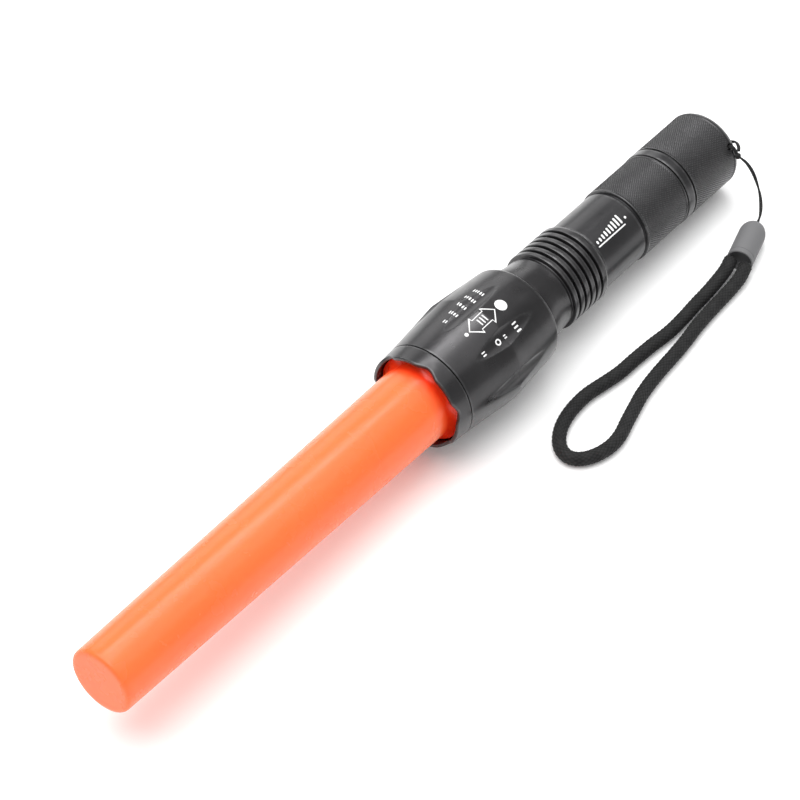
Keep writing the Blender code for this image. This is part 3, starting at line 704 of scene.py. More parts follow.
@dataclass
class TailCap:
    """The knurled cap with its recessed end, lanyard hole and switch parts."""

    radius: float = 13.5
    end_radius: float = 11.9
    chamfer: float = 2.0
    recess_radius: float = 9.5
    recess_depth: float = 4.0
    band: float = 4.0
    groove_depth: float = 0.5
    hole_station: float = 2.8
    hole_radius: float = 1.2
    hole_angle: float = 53.0

    def build(self, axis: Axis) -> None:
        """Make the cap and the boot, and dress the parts inside.

        Args:
            axis: The light's axis.
        """
        settle(self.make_cap(axis), Body.TAIL, "anodised_black", "tail_cap")
        settle(self.make_boot(axis), Body.BUTTON, "boot_rubber", "switch_boot")
        spring = Spring(15.15, 20.95, 5.6, 3.4, 4.5, 0.35)
        settle(spring.make("tail_contact_spring", STEEL, axis), Body.TAIL, "spring_steel", "tail_spring")
        dress({"boot_washer": WHITE_PLASTIC, "click_switch": BLACK_PLASTIC, "switch_board": GREEN_BOARD,
               "switch_retaining_ring": BARE, "switch_plunger": WHITE_PLASTIC})

    def make_cap(self, axis: Axis) -> bpy.types.Object:
        """Make the cap, with its hole pressed through by a round cutter."""
        mouth = ZONE.tail_cap_end
        band = mouth - self.band
        web_end = self.recess_depth + 1.5
        bore_end, switch_bore, button_hole = 16.0, 10.4, 7.0
        knurl = Knurl(2.6, band - 0.3, self.radius, along=23)
        thread = Thread(bore_end + 0.4, mouth - 1.5, THREAD_BORE, depth=-0.12)
        corners = [
            (0, self.recess_radius, 0.3), (0, self.end_radius, 0.5), (0.7, self.radius - 0.6, 0.5),
            (self.chamfer, self.radius, 0.5, 0.2), (knurl.start, self.radius, 0, knurl.step()),
            (knurl.end, self.radius, 0, 0.3),
            *groove(band, band + 0.8, self.radius, self.radius - self.groove_depth, 0.08),
            (mouth, self.radius, 0.3), (mouth, THREAD_BORE, 0.2, 0.3), (bore_end, THREAD_BORE, 0.1),
            (bore_end, switch_bore, 0.2), (web_end, switch_bore, 0.2), (web_end, button_hole, 0.2),
            (self.recess_depth, button_hole, 0.3), (self.recess_depth, self.recess_radius, 0.3)]
        cap = Turned(corners, 4 * knurl.around, relief=combined(knurl, thread)).solid(axis)
        piece = cap.make("knurled_tail_cap", KNURLED)
        out = np.array((self.recess_radius - 1.5, self.radius + 1.0))[:, None]
        aside, forward = self.hole_radius * circle(24).T
        distance = np.hypot(out, aside)
        angle = self.hole_angle + np.degrees(np.arctan2(aside, out))
        rings = axis.place(self.hole_station + forward[None], distance, angle)
        middle = axis.place(np.array(self.hole_station), out[:, 0], np.array(self.hole_angle))
        cutter = skin(rings, np.zeros(distance.shape), False, middle).make("lanyard_hole_cutter", KNURLED)
        modifier = piece.modifiers.new("lanyard_hole", "BOOLEAN")
        modifier.operation = "DIFFERENCE"
        modifier.object = cutter
        bpy.context.view_layer.update()
        cut = bpy.data.meshes.new_from_object(piece.evaluated_get(bpy.context.evaluated_depsgraph_get()))
        piece.modifiers.clear()
        piece.data = cut
        bpy.data.objects.remove(cutter)
        return piece

    def make_boot(self, axis: Axis) -> bpy.types.Object:
        """Make the rubber dome, with a shallow ring moulded into its face."""
        corners = [(1.35, 0), (1.35, 2.2, 0.2, 0.3), (1.5, 2.5, 0.2), (1.2, 2.9, 0.2, 0.3),
                   (1.45, 4.8, 0.9, 0.3), (2.1, 6.2, 0.9, 0.3), (3.3, 6.7, 0.5),
                   (5.8, 6.7, 0.3), (5.8, 7.9, 0.2), (6.8, 7.9, 0.2), (6.8, 5.4, 0.2),
                   (3.8, 5.4, 0.4), (2.9, 4.6, 0.4), (2.5, 2.8, 0.2), (2.5, 0)]
        return Turned(corners, 64, closed=False).solid(axis).make("rubber_boot", BOOT)


@dataclass
class Spring:
    """A compression spring whose wire climbs from one station and radius to another."""

    start: float
    end: float
    start_radius: float
    end_radius: float
    turns: float
    wire: float

    def make(self, name: str, finish: Finish, axis: Axis) -> bpy.types.Object:
        """Make the spring: a helix whose radius changes evenly, with its end turns lying close.

        Args:
            name: The piece's name.
            finish: The wire's finish.
            axis: The axis that the wire winds about.
        Returns:
            The new object.
        """
        share = np.linspace(0, 1, round(self.turns * 40))
        climb = np.clip((share - 0.06) / 0.88, 0, 1)
        route = axis.place(self.start + (self.end - self.start) * climb,
                           self.start_radius + (self.end_radius - self.start_radius) * share,
                           360 * self.turns * share)
        return rod(route, self.wire, 12).make(name, finish)


# ---- tube and light engine


@dataclass
class BatteryTube:
    """The tube with its knurled grip, smooth barrel and a threaded spigot at each end."""

    knurl_radius: float = 13.3
    barrel_radius: float = 12.75
    bore: float = 10.6
    spigot_start: float = 16.3
    spigot_end: float = 81.5
    tail_seal: float = 25.0
    seal_depth: float = 0.8

    def build(self, axis: Axis) -> None:
        """Make the tube and dress the cell and seals inside it.

        Args:
            axis: The light's axis.
        """
        settle(self.make_tube(axis), Body.LIGHT, "anodised_black", "battery_tube")
        dress({"tail_o_ring": SEAL, "neck_o_ring": SEAL, "cell": CELL_WRAP, "cell_insulator": WHITE_PLASTIC,
               "cell_button": BARE, "cell_sleeve": WHITE_PLASTIC})

    def make_tube(self, axis: Axis) -> bpy.types.Object:
        """Make the tube with its diamonds and its two threads."""
        knurl = Knurl(ZONE.tail_cap_end + 1.0, ZONE.knurl_end - 0.9, self.knurl_radius, along=22)
        neck_seal = ZONE.tube_end + 1.6
        tail_thread = Thread(self.spigot_start + 0.5, self.tail_seal - 1.2, SPIGOT_RADIUS)
        neck_thread = Thread(neck_seal + 1.2, self.spigot_end - 0.5, SPIGOT_RADIUS)
        seat = SPIGOT_RADIUS - self.seal_depth
        half_seat = 0.75
        fine = tail_thread.pitch / 8
        start, step, end = ZONE.tail_cap_end + GAP, ZONE.knurl_end, ZONE.tube_end - GAP
        undercut = self.barrel_radius - 0.4
        corners = [
            (self.spigot_start, self.bore, 0.2), (self.spigot_start, SPIGOT_RADIUS, 0.2, fine),
            *groove(self.tail_seal - half_seat, self.tail_seal + half_seat, SPIGOT_RADIUS, seat),
            (start, SPIGOT_RADIUS, 0.1), (start, self.knurl_radius, 0.35, 0.2),
            (knurl.start, self.knurl_radius, 0, knurl.step()), (knurl.end, self.knurl_radius, 0, 0.2),
            (step - 0.3, self.knurl_radius, 0.2), (step - 0.1, undercut, 0.1), (step + 0.6, undercut, 0.1),
            (step + 0.9, self.barrel_radius, 0.2), (end, self.barrel_radius, 0.2), (end, SPIGOT_RADIUS, 0.1),
            *groove(neck_seal - half_seat, neck_seal + half_seat, SPIGOT_RADIUS, seat, step=fine),
            (self.spigot_end, SPIGOT_RADIUS, 0.2), (self.spigot_end, self.bore, 0.2)]
        relief = combined(knurl, tail_thread, neck_thread)
        return Turned(corners, 4 * knurl.around, relief=relief).solid(axis).make("knurled_tube", KNURLED)


@dataclass
class Neck:
    """The finned neck that the head slides on."""

    fin_radius: float = 13.9
    waist_radius: float = 12.9
    grooves: int = 6
    groove_width: float = 1.2
    groove_depth: float = 1.3
    pill_radius: float = 10.9
    pill_start: float = 91.6
    front_end: float = 115.5
    seal_stations: tuple[float, float] = (ZONE.head_start + 1.6, ZONE.head_start + 4.2)

    def build(self, axis: Axis) -> None:
        """Make the neck and dress its seals and the light engine inside it.

        Args:
            axis: The light's axis.
        """
        settle(self.make_neck(axis), Body.LIGHT, "anodised_black", "neck_housing")
        spring = Spring(91.55, 88.65, 4.4, 2.4, 3.0, 0.3)
        settle(spring.make("driver_contact_spring", GILT, axis), Body.LIGHT, "gilt_contact", "driver_spring")
        dress({"zoom_o_ring_rear": SEAL, "zoom_o_ring_front": SEAL, "neck_stop_ring": STEEL, "led_pill": BARE,
               "wire_red": RED_WIRE, "wire_black": BLACK_PLASTIC, "driver_board": GREEN_BOARD,
               "driver_inductor": BLACK_PLASTIC, "driver_chip": BLACK_PLASTIC,
               "led_board": WHITE_BOARD, "led_package": PHOSPHOR, "led_dome": LENS_GLASS,
               "led_centring_ring": WHITE_PLASTIC})

    def fin_corners(self) -> Outline:
        """Return the outside of the fins: a lip, then grooves with slightly sloping walls."""
        pitch = (ZONE.fins_end - ZONE.tube_end - 1.4) / self.grooves
        floor = self.fin_radius - self.groove_depth
        corners = [(ZONE.tube_end, 13.1, 0.2), (ZONE.tube_end + 0.5, 13.6, 0.3),
                   (ZONE.tube_end + 1.2, self.fin_radius, 0.3)]
        for groove in range(self.grooves):
            end = ZONE.fins_end - (self.grooves - 1 - groove) * pitch
            start = end - self.groove_width
            leaving = self.waist_radius if groove == self.grooves - 1 else self.fin_radius
            corners += [(start, self.fin_radius, 0.22), (start + 0.15, floor, 0.3),
                        (end - 0.15, floor, 0.25), (end, leaving, 0.22)]
        return corners

    def make_neck(self, axis: Axis) -> bpy.types.Object:
        """Make the neck: fins, a waist that rises as half a cosine, and the slide that the head moves on."""
        share = np.linspace(0, 1, 13)[1:]
        rise = (1 - np.cos(pi * share)) / 2
        waist = curve(ZONE.fins_end + (ZONE.head_start - ZONE.fins_end) * share,
                      self.waist_radius + (NECK_RADIUS - self.waist_radius) * rise, 0.3)
        corners = self.fin_corners() + waist
        slide_end = self.seal_stations[1] + 1.4
        stop_end = slide_end + 1.6
        stop_floor, front_radius, spring_bore, thread_end = 13.2, 13.7, 9.9, 82.0
        pill_bore, ledge = self.pill_radius + GAP, self.pill_start - GAP
        for seat in self.seal_stations:
            corners += groove(seat - 0.7, seat + 0.7, NECK_RADIUS, NECK_RADIUS - 0.8)
        corners += [
            (slide_end, NECK_RADIUS, 0.1), (slide_end, stop_floor, 0.1), (stop_end, stop_floor, 0.1),
            (stop_end, front_radius, 0.1), (self.front_end, front_radius, 0.5),
            (self.front_end, pill_bore, 0.2), (ledge, pill_bore), (ledge, spring_bore),
            (thread_end, spring_bore), (thread_end, THREAD_BORE), (ZONE.tube_end, THREAD_BORE, 0.2)]
        return Turned(corners, 128).solid(axis).make("finned_neck", ANODISED)


# ---- head and bezel


@dataclass
class Head:
    """The barrel that slides to zoom: a double cone with concave flutes round its widest ring."""

    lip_radius: float = 17.15
    widest_radius: float = 19.0
    front_radius: float = 16.9
    bore: float = 15.6
    flutes: int = 8
    flute_phase: float = 38.0
    tool_radius: float = 5.6
    tool_centre: float = 23.37
    across_flute: int = 13
    across_land: int = 13

    def build(self, axis: Axis) -> None:
        """Make the barrel.

        Args:
            axis: The light's axis.
        """
        settle(self.make_barrel(axis), Body.HEAD, "anodised_black", "head_barrel")

    def cone(self, station: Array) -> Array:
        """Return the double cone's radius: straight up to the widest ring and down to the front."""
        return np.interp(station, (ZONE.head_start + 2, ZONE.head_widest, ZONE.head_end - 0.2),
                         (self.lip_radius, self.widest_radius, self.front_radius))

    def floor(self, angle: Array) -> Array:
        """Return the radius of the flutes' floor, the near side of a round tool laid along the light.

        The tool's centre times the cosine of the angle from the flute's middle, less the root of the
        tool's radius squared less the centre's sideways distance squared.
        """
        off = np.radians(nearest(angle, self.flutes, self.flute_phase))
        aside = self.tool_centre * np.sin(off)
        inside = np.abs(aside) < self.tool_radius
        depth = np.sqrt(np.maximum(self.tool_radius ** 2 - aside ** 2, 0))
        return np.where(inside, self.tool_centre * np.cos(off) - depth, 2 * self.widest_radius)

    def surface(self, station: Array, angle: Array) -> Array:
        """Return the outside radius: the lower of cone and flute floor, blended softly where they meet."""
        soft = 0.035
        cone, floor = np.broadcast_arrays(self.cone(station), self.floor(angle))
        gap = np.clip((floor - cone) / soft, -60, 60)
        return cone - soft * np.log1p(np.exp(-gap))

    def half_angle(self, station: Array) -> Array:
        """Return a flute's half width in degrees, from the triangle of cone, tool and tool centre."""
        cone = self.cone(station)
        ratio = (self.tool_centre ** 2 + cone ** 2 - self.tool_radius ** 2) / (2 * self.tool_centre * cone)
        return np.degrees(np.arccos(np.clip(ratio, -1, 1)))

    def columns(self, station: Array) -> Array:
        """Return each ring's angles, so that a column of points follows each edge of each flute."""
        edge = np.maximum(self.half_angle(station), 0.9)
        spacing = 360 / self.flutes
        inner = np.sin(np.linspace(-1, 1, self.across_flute) * pi / 2)[None] * edge
        share = (1 - np.cos(np.linspace(0, 1, self.across_land + 2)[1:-1] * pi)) / 2
        land = edge + share[None] * (spacing - 2 * edge)
        sector = np.concatenate([inner, land], 1)
        start = self.flute_phase + spacing * np.arange(self.flutes)[:, None]
        return (start + sector[:, None, :]).reshape(len(station), -1)

    def relief(self, station: Array, radius: Array, angle: Array) -> tuple[Array, Array]:
        """Return how far the flutes lower the barrel's outside, and the shine along their edges."""
        outside = (radius > self.cone(station) - 0.3) & (radius > self.bore + 1.0)
        change = np.where(outside, self.surface(station, angle) - self.cone(station), 0.0)
        edge = np.exp(-((self.floor(angle) - self.cone(station)) / 0.12) ** 2)
        return change, np.where(outside, 0.55 * edge, 0.0)

    def make_barrel(self, axis: Axis) -> bpy.types.Object:
        """Make the barrel, whose rings are closest together where the flutes run out."""
        land_radius = NECK_RADIUS + GAP
        start, end = ZONE.head_start, ZONE.head_end
        land_end, seat, skirt_end = start + 5.4, LENS_BACK - GAP, LENS_BACK + 3
        lens_bore, window, skirt_bore = 14.5, 13.2, SKIRT_RADIUS + GAP
        corners = [
            (start, land_radius, 0.3), (start, 16.2, 0.7, 0.3), (start + 0.9, 17.0, 0.6, 0.3),
            (start + 2, self.lip_radius, 0.3, 0.5), (ZONE.head_widest, self.widest_radius, 0.5, 0.5),
            (end, self.front_radius, 0.25), (end, skirt_bore, 0.1), (skirt_end, skirt_bore, 0.1),
            (skirt_end, lens_bore, 0.1), (seat, lens_bore, 0.1), (seat, window, 0.1),
            (seat - 1.4, window, 0.1), (seat - 1.4, self.bore, 0.1, 2), (land_end, self.bore, 0.1),
            (land_end, land_radius, 0.1)]
        barrel = Turned(corners, relief=self.relief, angles=self.columns)
        return barrel.solid(axis).make("fluted_head", ANODISED, 60)


@dataclass
class Bezel:
    """The ring screwed into the head, whose front edge is scalloped."""

    radius: float = 16.9
    front_radius: float = 16.5
    bore: float = 15.3
    scallops: int = 6
    depth: float = 1.4
    half_angle: float = 17.0
    phase: float = 12.0

    def build(self, axis: Axis) -> None:
        """Make the ring, the lens and the seal between them.

        Args:
            axis: The light's axis.
        """
        settle(self.make_ring(axis), Body.HEAD, "anodised_black", "bezel_ring")
        settle(self.make_lens(axis), Body.HEAD, "clear_glass", "lens")
        dress({"lens_o_ring": SEAL})

    def cut_back(self, station: Array, angle: Array) -> Array:
        """Return how far the front edge moves back: a raised cosine across each scallop."""
        off = np.abs(nearest(angle, self.scallops, self.phase))
        dip = np.where(off < self.half_angle, (1 + np.cos(pi * off / self.half_angle)) / 2, 0)
        reach = np.clip((station - (ZONE.bezel_end - 3.6)) / 3.0, 0, 1)
        return -self.depth * dip * reach

    def make_ring(self, axis: Axis) -> bpy.types.Object:
        """Make the ring with its skirt, its seat for the wand and its scalloped rim."""
        shoulder = ZONE.head_end + GAP
        seat = ZONE.head_end + 0.1
        skirt_end, window = LENS_BACK + 3.5, 13.9
        corners = [
            (skirt_end, window, 0.1), (skirt_end, SKIRT_RADIUS, 0.1), (shoulder, SKIRT_RADIUS, 0.1),
            (shoulder, self.radius, 0.3, 0.4), (ZONE.bezel_end, self.front_radius, 0.45, 0.3),
            (ZONE.bezel_end, self.bore, 0.35, 0.4), (seat, self.bore, 0.1), (seat, window, 0.1)]
        return Turned(corners, 240, slide=self.cut_back).solid(axis).make("scalloped_bezel", ANODISED)

    def make_lens(self, axis: Axis) -> bpy.types.Object:
        """Make the lens: a flat back, a plain edge, and a dome that is part of a sphere."""
        edge_radius, edge_end = 14.2, LENS_BACK + 2.0
        base, height = 13.3, 6.6
        sphere = (base ** 2 + height ** 2) / (2 * height)
        off_axis = np.linspace(base, 0, 26)
        dome = edge_end + height - sphere + np.sqrt(sphere ** 2 - off_axis ** 2)
        corners = [(LENS_BACK, 0), (LENS_BACK, edge_radius, 0.15), (edge_end, edge_radius, 0.15),
                   *curve(dome, off_axis)]
        return Turned(corners, 96, closed=False).solid(axis).make("zoom_lens", LENS_GLASS)


# ---- wand


@dataclass
class Wand:
    """The hollow orange wand, open at its base, with a flange that seats in the bezel."""

    base_radius: float = 12.7
    tip_radius: float = 11.0
    flange_radius: float = 15.0
    wall: float = 1.5
    cove: float = 2.8
    # how far past the bezel's front the painted shade fades out, in millimetres
    painted_shade_run: float = 7.0

    def build(self, axis: Axis) -> None:
        """Make the wand. Painted shade makes its colour deepest at the base inside the bezel, fading as the
        square of the way out.

        Args:
            axis: The light's axis.
        """
        base = ZONE.head_end + 0.4
        inner_end = ZONE.wand_tip - self.wall
        inner_tip = self.tip_radius - self.wall
        skirt_bore = self.flange_radius - 1.6
        turn = np.radians(np.linspace(192, 270, 9))
        cove = curve(base + 6.1 + self.cove * np.cos(turn),
                     self.base_radius + self.cove * (1 + np.sin(turn)), 0.3)
        corners = [
            (inner_end, 0), (inner_end, inner_tip, 0.6, 3), (base + 5.7, self.base_radius - self.wall),
            (base + 2.3, skirt_bore), (base, skirt_bore), (base, self.flange_radius, 0.3),
            (base + 3.3, self.flange_radius, 0.5), *cove, (base + 6.4, self.base_radius, 0.3, 2.5),
            (ZONE.wand_tip, self.tip_radius, 1.5), (ZONE.wand_tip, 0)]
        solid = Turned(corners, 160, closed=False).solid(axis)
        station = (solid.points - axis.start) @ axis.forward / MM
        # painted shade: the crest deepens the colour at the base inside the bezel
        solid.crest = np.clip((ZONE.bezel_end + self.painted_shade_run - station) / self.painted_shade_run, 0, 1) ** 2
        wand = solid.make("diffuser_baton", ORANGE, 60)
        settle(wand, Body.WAND, "orange_diffuser", "diffuser_wand")


# ---- printed marks


@dataclass
class Print:
    """White marks printed on a surface, each a thin skin that follows it."""

    axis: Axis
    surface: Callable[[Array, Array], Array]
    thick: float = 0.05
    marks: list[Solid] = field(default_factory=list)

    def lay(self, outer: Array, inner: Array, station: float, angle: float) -> None:
        """Lay a band between two loops on the surface, as a closed skin just above and below it.

        Args:
            outer: The outer loop's points, forward and sideways, in millimetres.
            inner: The inner loop's points, one for each of the outer loop's.
            station: Where the band's middle lies along the axis.
            angle: Where the band's middle lies round the axis.
        """
        share = np.array((0, 0.34, 0.67, 1, 1, 0.67, 0.34, 0))[:, None, None]
        lift = np.array((1, 1, 1, 1, -1, -1, -1, -1))[:, None] * self.thick
        flat = outer + (inner - outer) * share
        stations = station + flat[..., 0]
        middle = float(self.surface(np.array(station), np.array(angle)))
        angles = angle + np.degrees(flat[..., 1] / middle)
        grid = self.axis.place(stations, self.surface(stations, angles) + lift, angles)
        self.marks.append(skin(grid, np.zeros(grid.shape[:2]), True))

    def dot(self, size: float, station: float, angle: float) -> None:
        """Lay a round dot of a diameter."""
        edge = circle(32) * size / 2
        self.lay(edge, edge * 0.02, station, angle)

    def ring(self, size: float, width: float, station: float, angle: float) -> None:
        """Lay a round ring of an outer diameter and a line width."""
        self.lay(circle(40) * size / 2, circle(40) * (size / 2 - width), station, angle)

    def bar(self, long: float, wide: float, station: float, angle: float, lean: float = 0.0) -> None:
        """Lay a bar with round ends, which leans from the axis's direction by an angle in degrees."""
        run = np.linspace(-1, 1, 9) * (long - wide) / 2
        turn = np.linspace(-pi / 2, pi / 2, 9)[1:-1]
        half = wide / 2
        end = np.full(len(turn), run[-1])
        spine = np.concatenate([run, end, -run, -end])
        side = np.ones(len(run))
        across = np.concatenate([-side, np.sin(turn), side, -np.sin(turn)])
        bulge = np.concatenate([0 * run, np.cos(turn), 0 * run, -np.cos(turn)])
        outer = np.stack([spine + half * bulge, half * across], -1)
        inner = np.stack([spine, 0.01 * across], -1)
        lean = radians(lean)
        spin = np.array(((cos(lean), sin(lean)), (-sin(lean), cos(lean))))
        self.lay(outer @ spin, inner @ spin, station, angle)

    def polygon(self, corners: Outline, width: float, station: float, angle: float) -> None:
        """Lay the outline of a polygon: a band between its edge and a smaller copy of it."""
        corner = np.array(corners, float)
        share = np.linspace(0, 1, 9)[:-1, None]
        run = [here + (following - here) * share for here, following in zip(corner, np.roll(corner, -1, 0))]
        outer = np.concatenate(run)
        small = 1 - width / np.abs(corner).max(0)
        self.lay(outer, outer * small, station, angle)

    def make(self, name: str, body: Body) -> None:
        """Make all the marks as one piece that rides on a body."""
        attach(Solid.joined(self.marks).make(name, PRINT), body.value)


@dataclass
class Markings:
    """The generic marks on the head and the barrel: a slide arrow, graduations and a brightness gauge."""

    head: Head
    tube: BatteryTube
    arrow_station: float = 125.4
    arrow_angle: float = 12.6

    def build(self, axis: Axis) -> None:
        """Lay the marks on the head and on the barrel.

        Args:
            axis: The light's axis.
        """
        self.mark_head(Print(axis, self.head.surface))
        radius = self.tube.barrel_radius
        self.mark_barrel(Print(axis, lambda station, angle: np.full(np.shape(station), radius)))

    def mark_head(self, sheet: Print) -> None:
        """Lay the two-ended slide arrow between a small and a large dot, and the graduations."""
        half, neck, wide = 6.3, 2.6, 3.6
        shaft = wide * 0.62
        arrow = [(half, 0), (neck, -wide), (neck, -shaft), (-neck, -shaft), (-neck, -wide), (-half, 0),
                 (-neck, wide), (-neck, shaft), (neck, shaft), (neck, wide)]
        sheet.polygon(arrow, 0.45, self.arrow_station, self.arrow_angle)
        for offset in (-1.2, 0.0, 1.2):
            sheet.bar(2.6, 0.4, self.arrow_station + offset, self.arrow_angle, 90)
        sheet.dot(1.3, 132.9, self.arrow_angle)
        sheet.dot(4.1, 116.3, self.arrow_angle + 0.5)
        for row, strokes in enumerate((2, 4, 4, 5, 5)):
            self.tally(sheet, strokes, 132.6 - 4.1 * row, -14.5, 1.25, 0.42, 0.85)
        self.tally(sheet, 2, 133.0, 38.0, 1.5, 0.45, 1.0)
        sheet.ring(2.1, 0.45, 126.2, 38.4)
        self.tally(sheet, 2, 122.9, 38.6, 1.1, 0.4, 0.8)
        self.tally(sheet, 3, 117.4, 38.8, 1.9, 0.55, 1.35)
        sheet.make("head_marks", Body.HEAD)

    def tally(self, sheet: Print, strokes: int, station: float, angle: float, tall: float, wide: float,
              pitch: float) -> None:
        """Lay a row of short strokes round the surface, each along the axis, as a plain graduation.

        Args:
            sheet: The marks that they join.
            strokes: How many strokes.
            station: Where the row lies along the axis.
            angle: The angle of the row's middle.
            tall: Each stroke's length, in millimetres.
            wide: Each stroke's width, in millimetres.
            pitch: The distance between strokes, in millimetres.
        """
        radius = float(sheet.surface(np.array(station), np.array(angle)))
        for offset in (np.arange(strokes) - (strokes - 1) / 2) * pitch:
            sheet.bar(tall, wide, station, angle + degrees(offset / radius))

    def mark_barrel(self, sheet: Print) -> None:
        """Lay a brightness gauge: a row of bars that grow taller, with their feet on a base line."""
        count, pitch, first, foot = 9, 1.55, 69.2, 35.0
        for index in range(count):
            height = 1.1 + 0.3 * index
            lean_back = degrees((0.5 + height / 2) / self.tube.barrel_radius)
            sheet.bar(height, 0.75, first - pitch * index, foot - lean_back, 90)
        sheet.bar(pitch * count, 0.45, first - pitch * (count - 1) / 2, foot + 1.5)
        sheet.dot(0.9, first - pitch * (count + 0.5), foot - 6.0)
        sheet.make("barrel_marks", Body.LIGHT)


# ---- lanyard


def smooth_route(route: Array, spacing: float) -> Array:
    """Return evenly spaced points of the Catmull-Rom curve through a route.

    Each stretch is half of twice its start, plus the run between its neighbours times t, plus twice
    the first less five times the start plus four times the end less the last, times t squared, plus
    three times the start less the first less three times the end plus the last, times t cubed.

    Args:
        route: The route's points, in metres.
        spacing: The distance between the returned points, in metres.
    Returns:
        The points.
    """
    ends = np.concatenate([2 * route[:1] - route[1:2], route, 2 * route[-1:] - route[-2:-1]])
    first, start, end, last = (ends[offset:len(ends) - 3 + offset, None] for offset in range(4))
    t = np.linspace(0, 1, 24, endpoint=False)[None, :, None]
    curve = 0.5 * (2 * start + (end - first) * t + (2 * first - 5 * start + 4 * end - last) * t ** 2
                   + (3 * start - first - 3 * end + last) * t ** 3)
    line = np.concatenate([curve.reshape(-1, 3), route[-1:]])
    travel = travelled(line)
    wanted = np.linspace(0, travel[-1], max(2, round(travel[-1] / spacing)) + 1)
    return np.stack([np.interp(wanted, travel, line[:, side]) for side in range(3)], -1)


def carried_frames(line: Array) -> tuple[Array, Array]:
    """Return two directions across a line at each of its points, carried along it without twisting.

    Args:
        line: The line's points.
    Returns:
        The two directions, at right angles to the line and to each other.
    """
    along = unit(np.gradient(line, axis=0))
    across = np.empty_like(along)
    across[0] = unit(np.cross(along[0], (0.3, 0.5, 0.8)))
    for index in range(1, len(line)):
        across[index] = unit(across[index - 1] - along[index] * (across[index - 1] @ along[index]))
    return across, np.cross(along, across)


def rings_round(line: Array, across: Array, other: Array, radius: Array) -> Array:
    """Return a ring of points round each of a line's: its point plus the radius times a turning direction.

    Args:
        line: The line's points, in metres.
        across: A direction across the line at each point.
        other: The direction at right angles to it.
        radius: The radius at each ring and each angle round it, in metres.
    Returns:
        The points, of shape (rings, points per ring, 3).
    """
    turn = circle(radius.shape[1])
    spoke = turn[None, :, :1] * across[:, None] + turn[None, :, 1:] * other[:, None]
    return line[:, None] + radius[..., None] * spoke


def tube_round(line: Array, radius: Array, crest: Array) -> Solid:
    """Return a tube round a line, with rings that don't twist about it.

    Args:
        line: The line's points, in metres.
        radius: The radius at each ring and each angle round it, in metres.
        crest: How exposed each point is.
    Returns:
        The tube, closed at both ends.
    """
    return skin(rings_round(line, *carried_frames(line), radius), crest, False, line[[0, -1]])


def rod(line: Array, radius: float, sides: int) -> Solid:
    """Return a plain round tube with a radius in millimetres."""
    shape = (len(line), sides)
    return tube_round(line, np.full(shape, radius * MM), np.full(shape, 0.7))


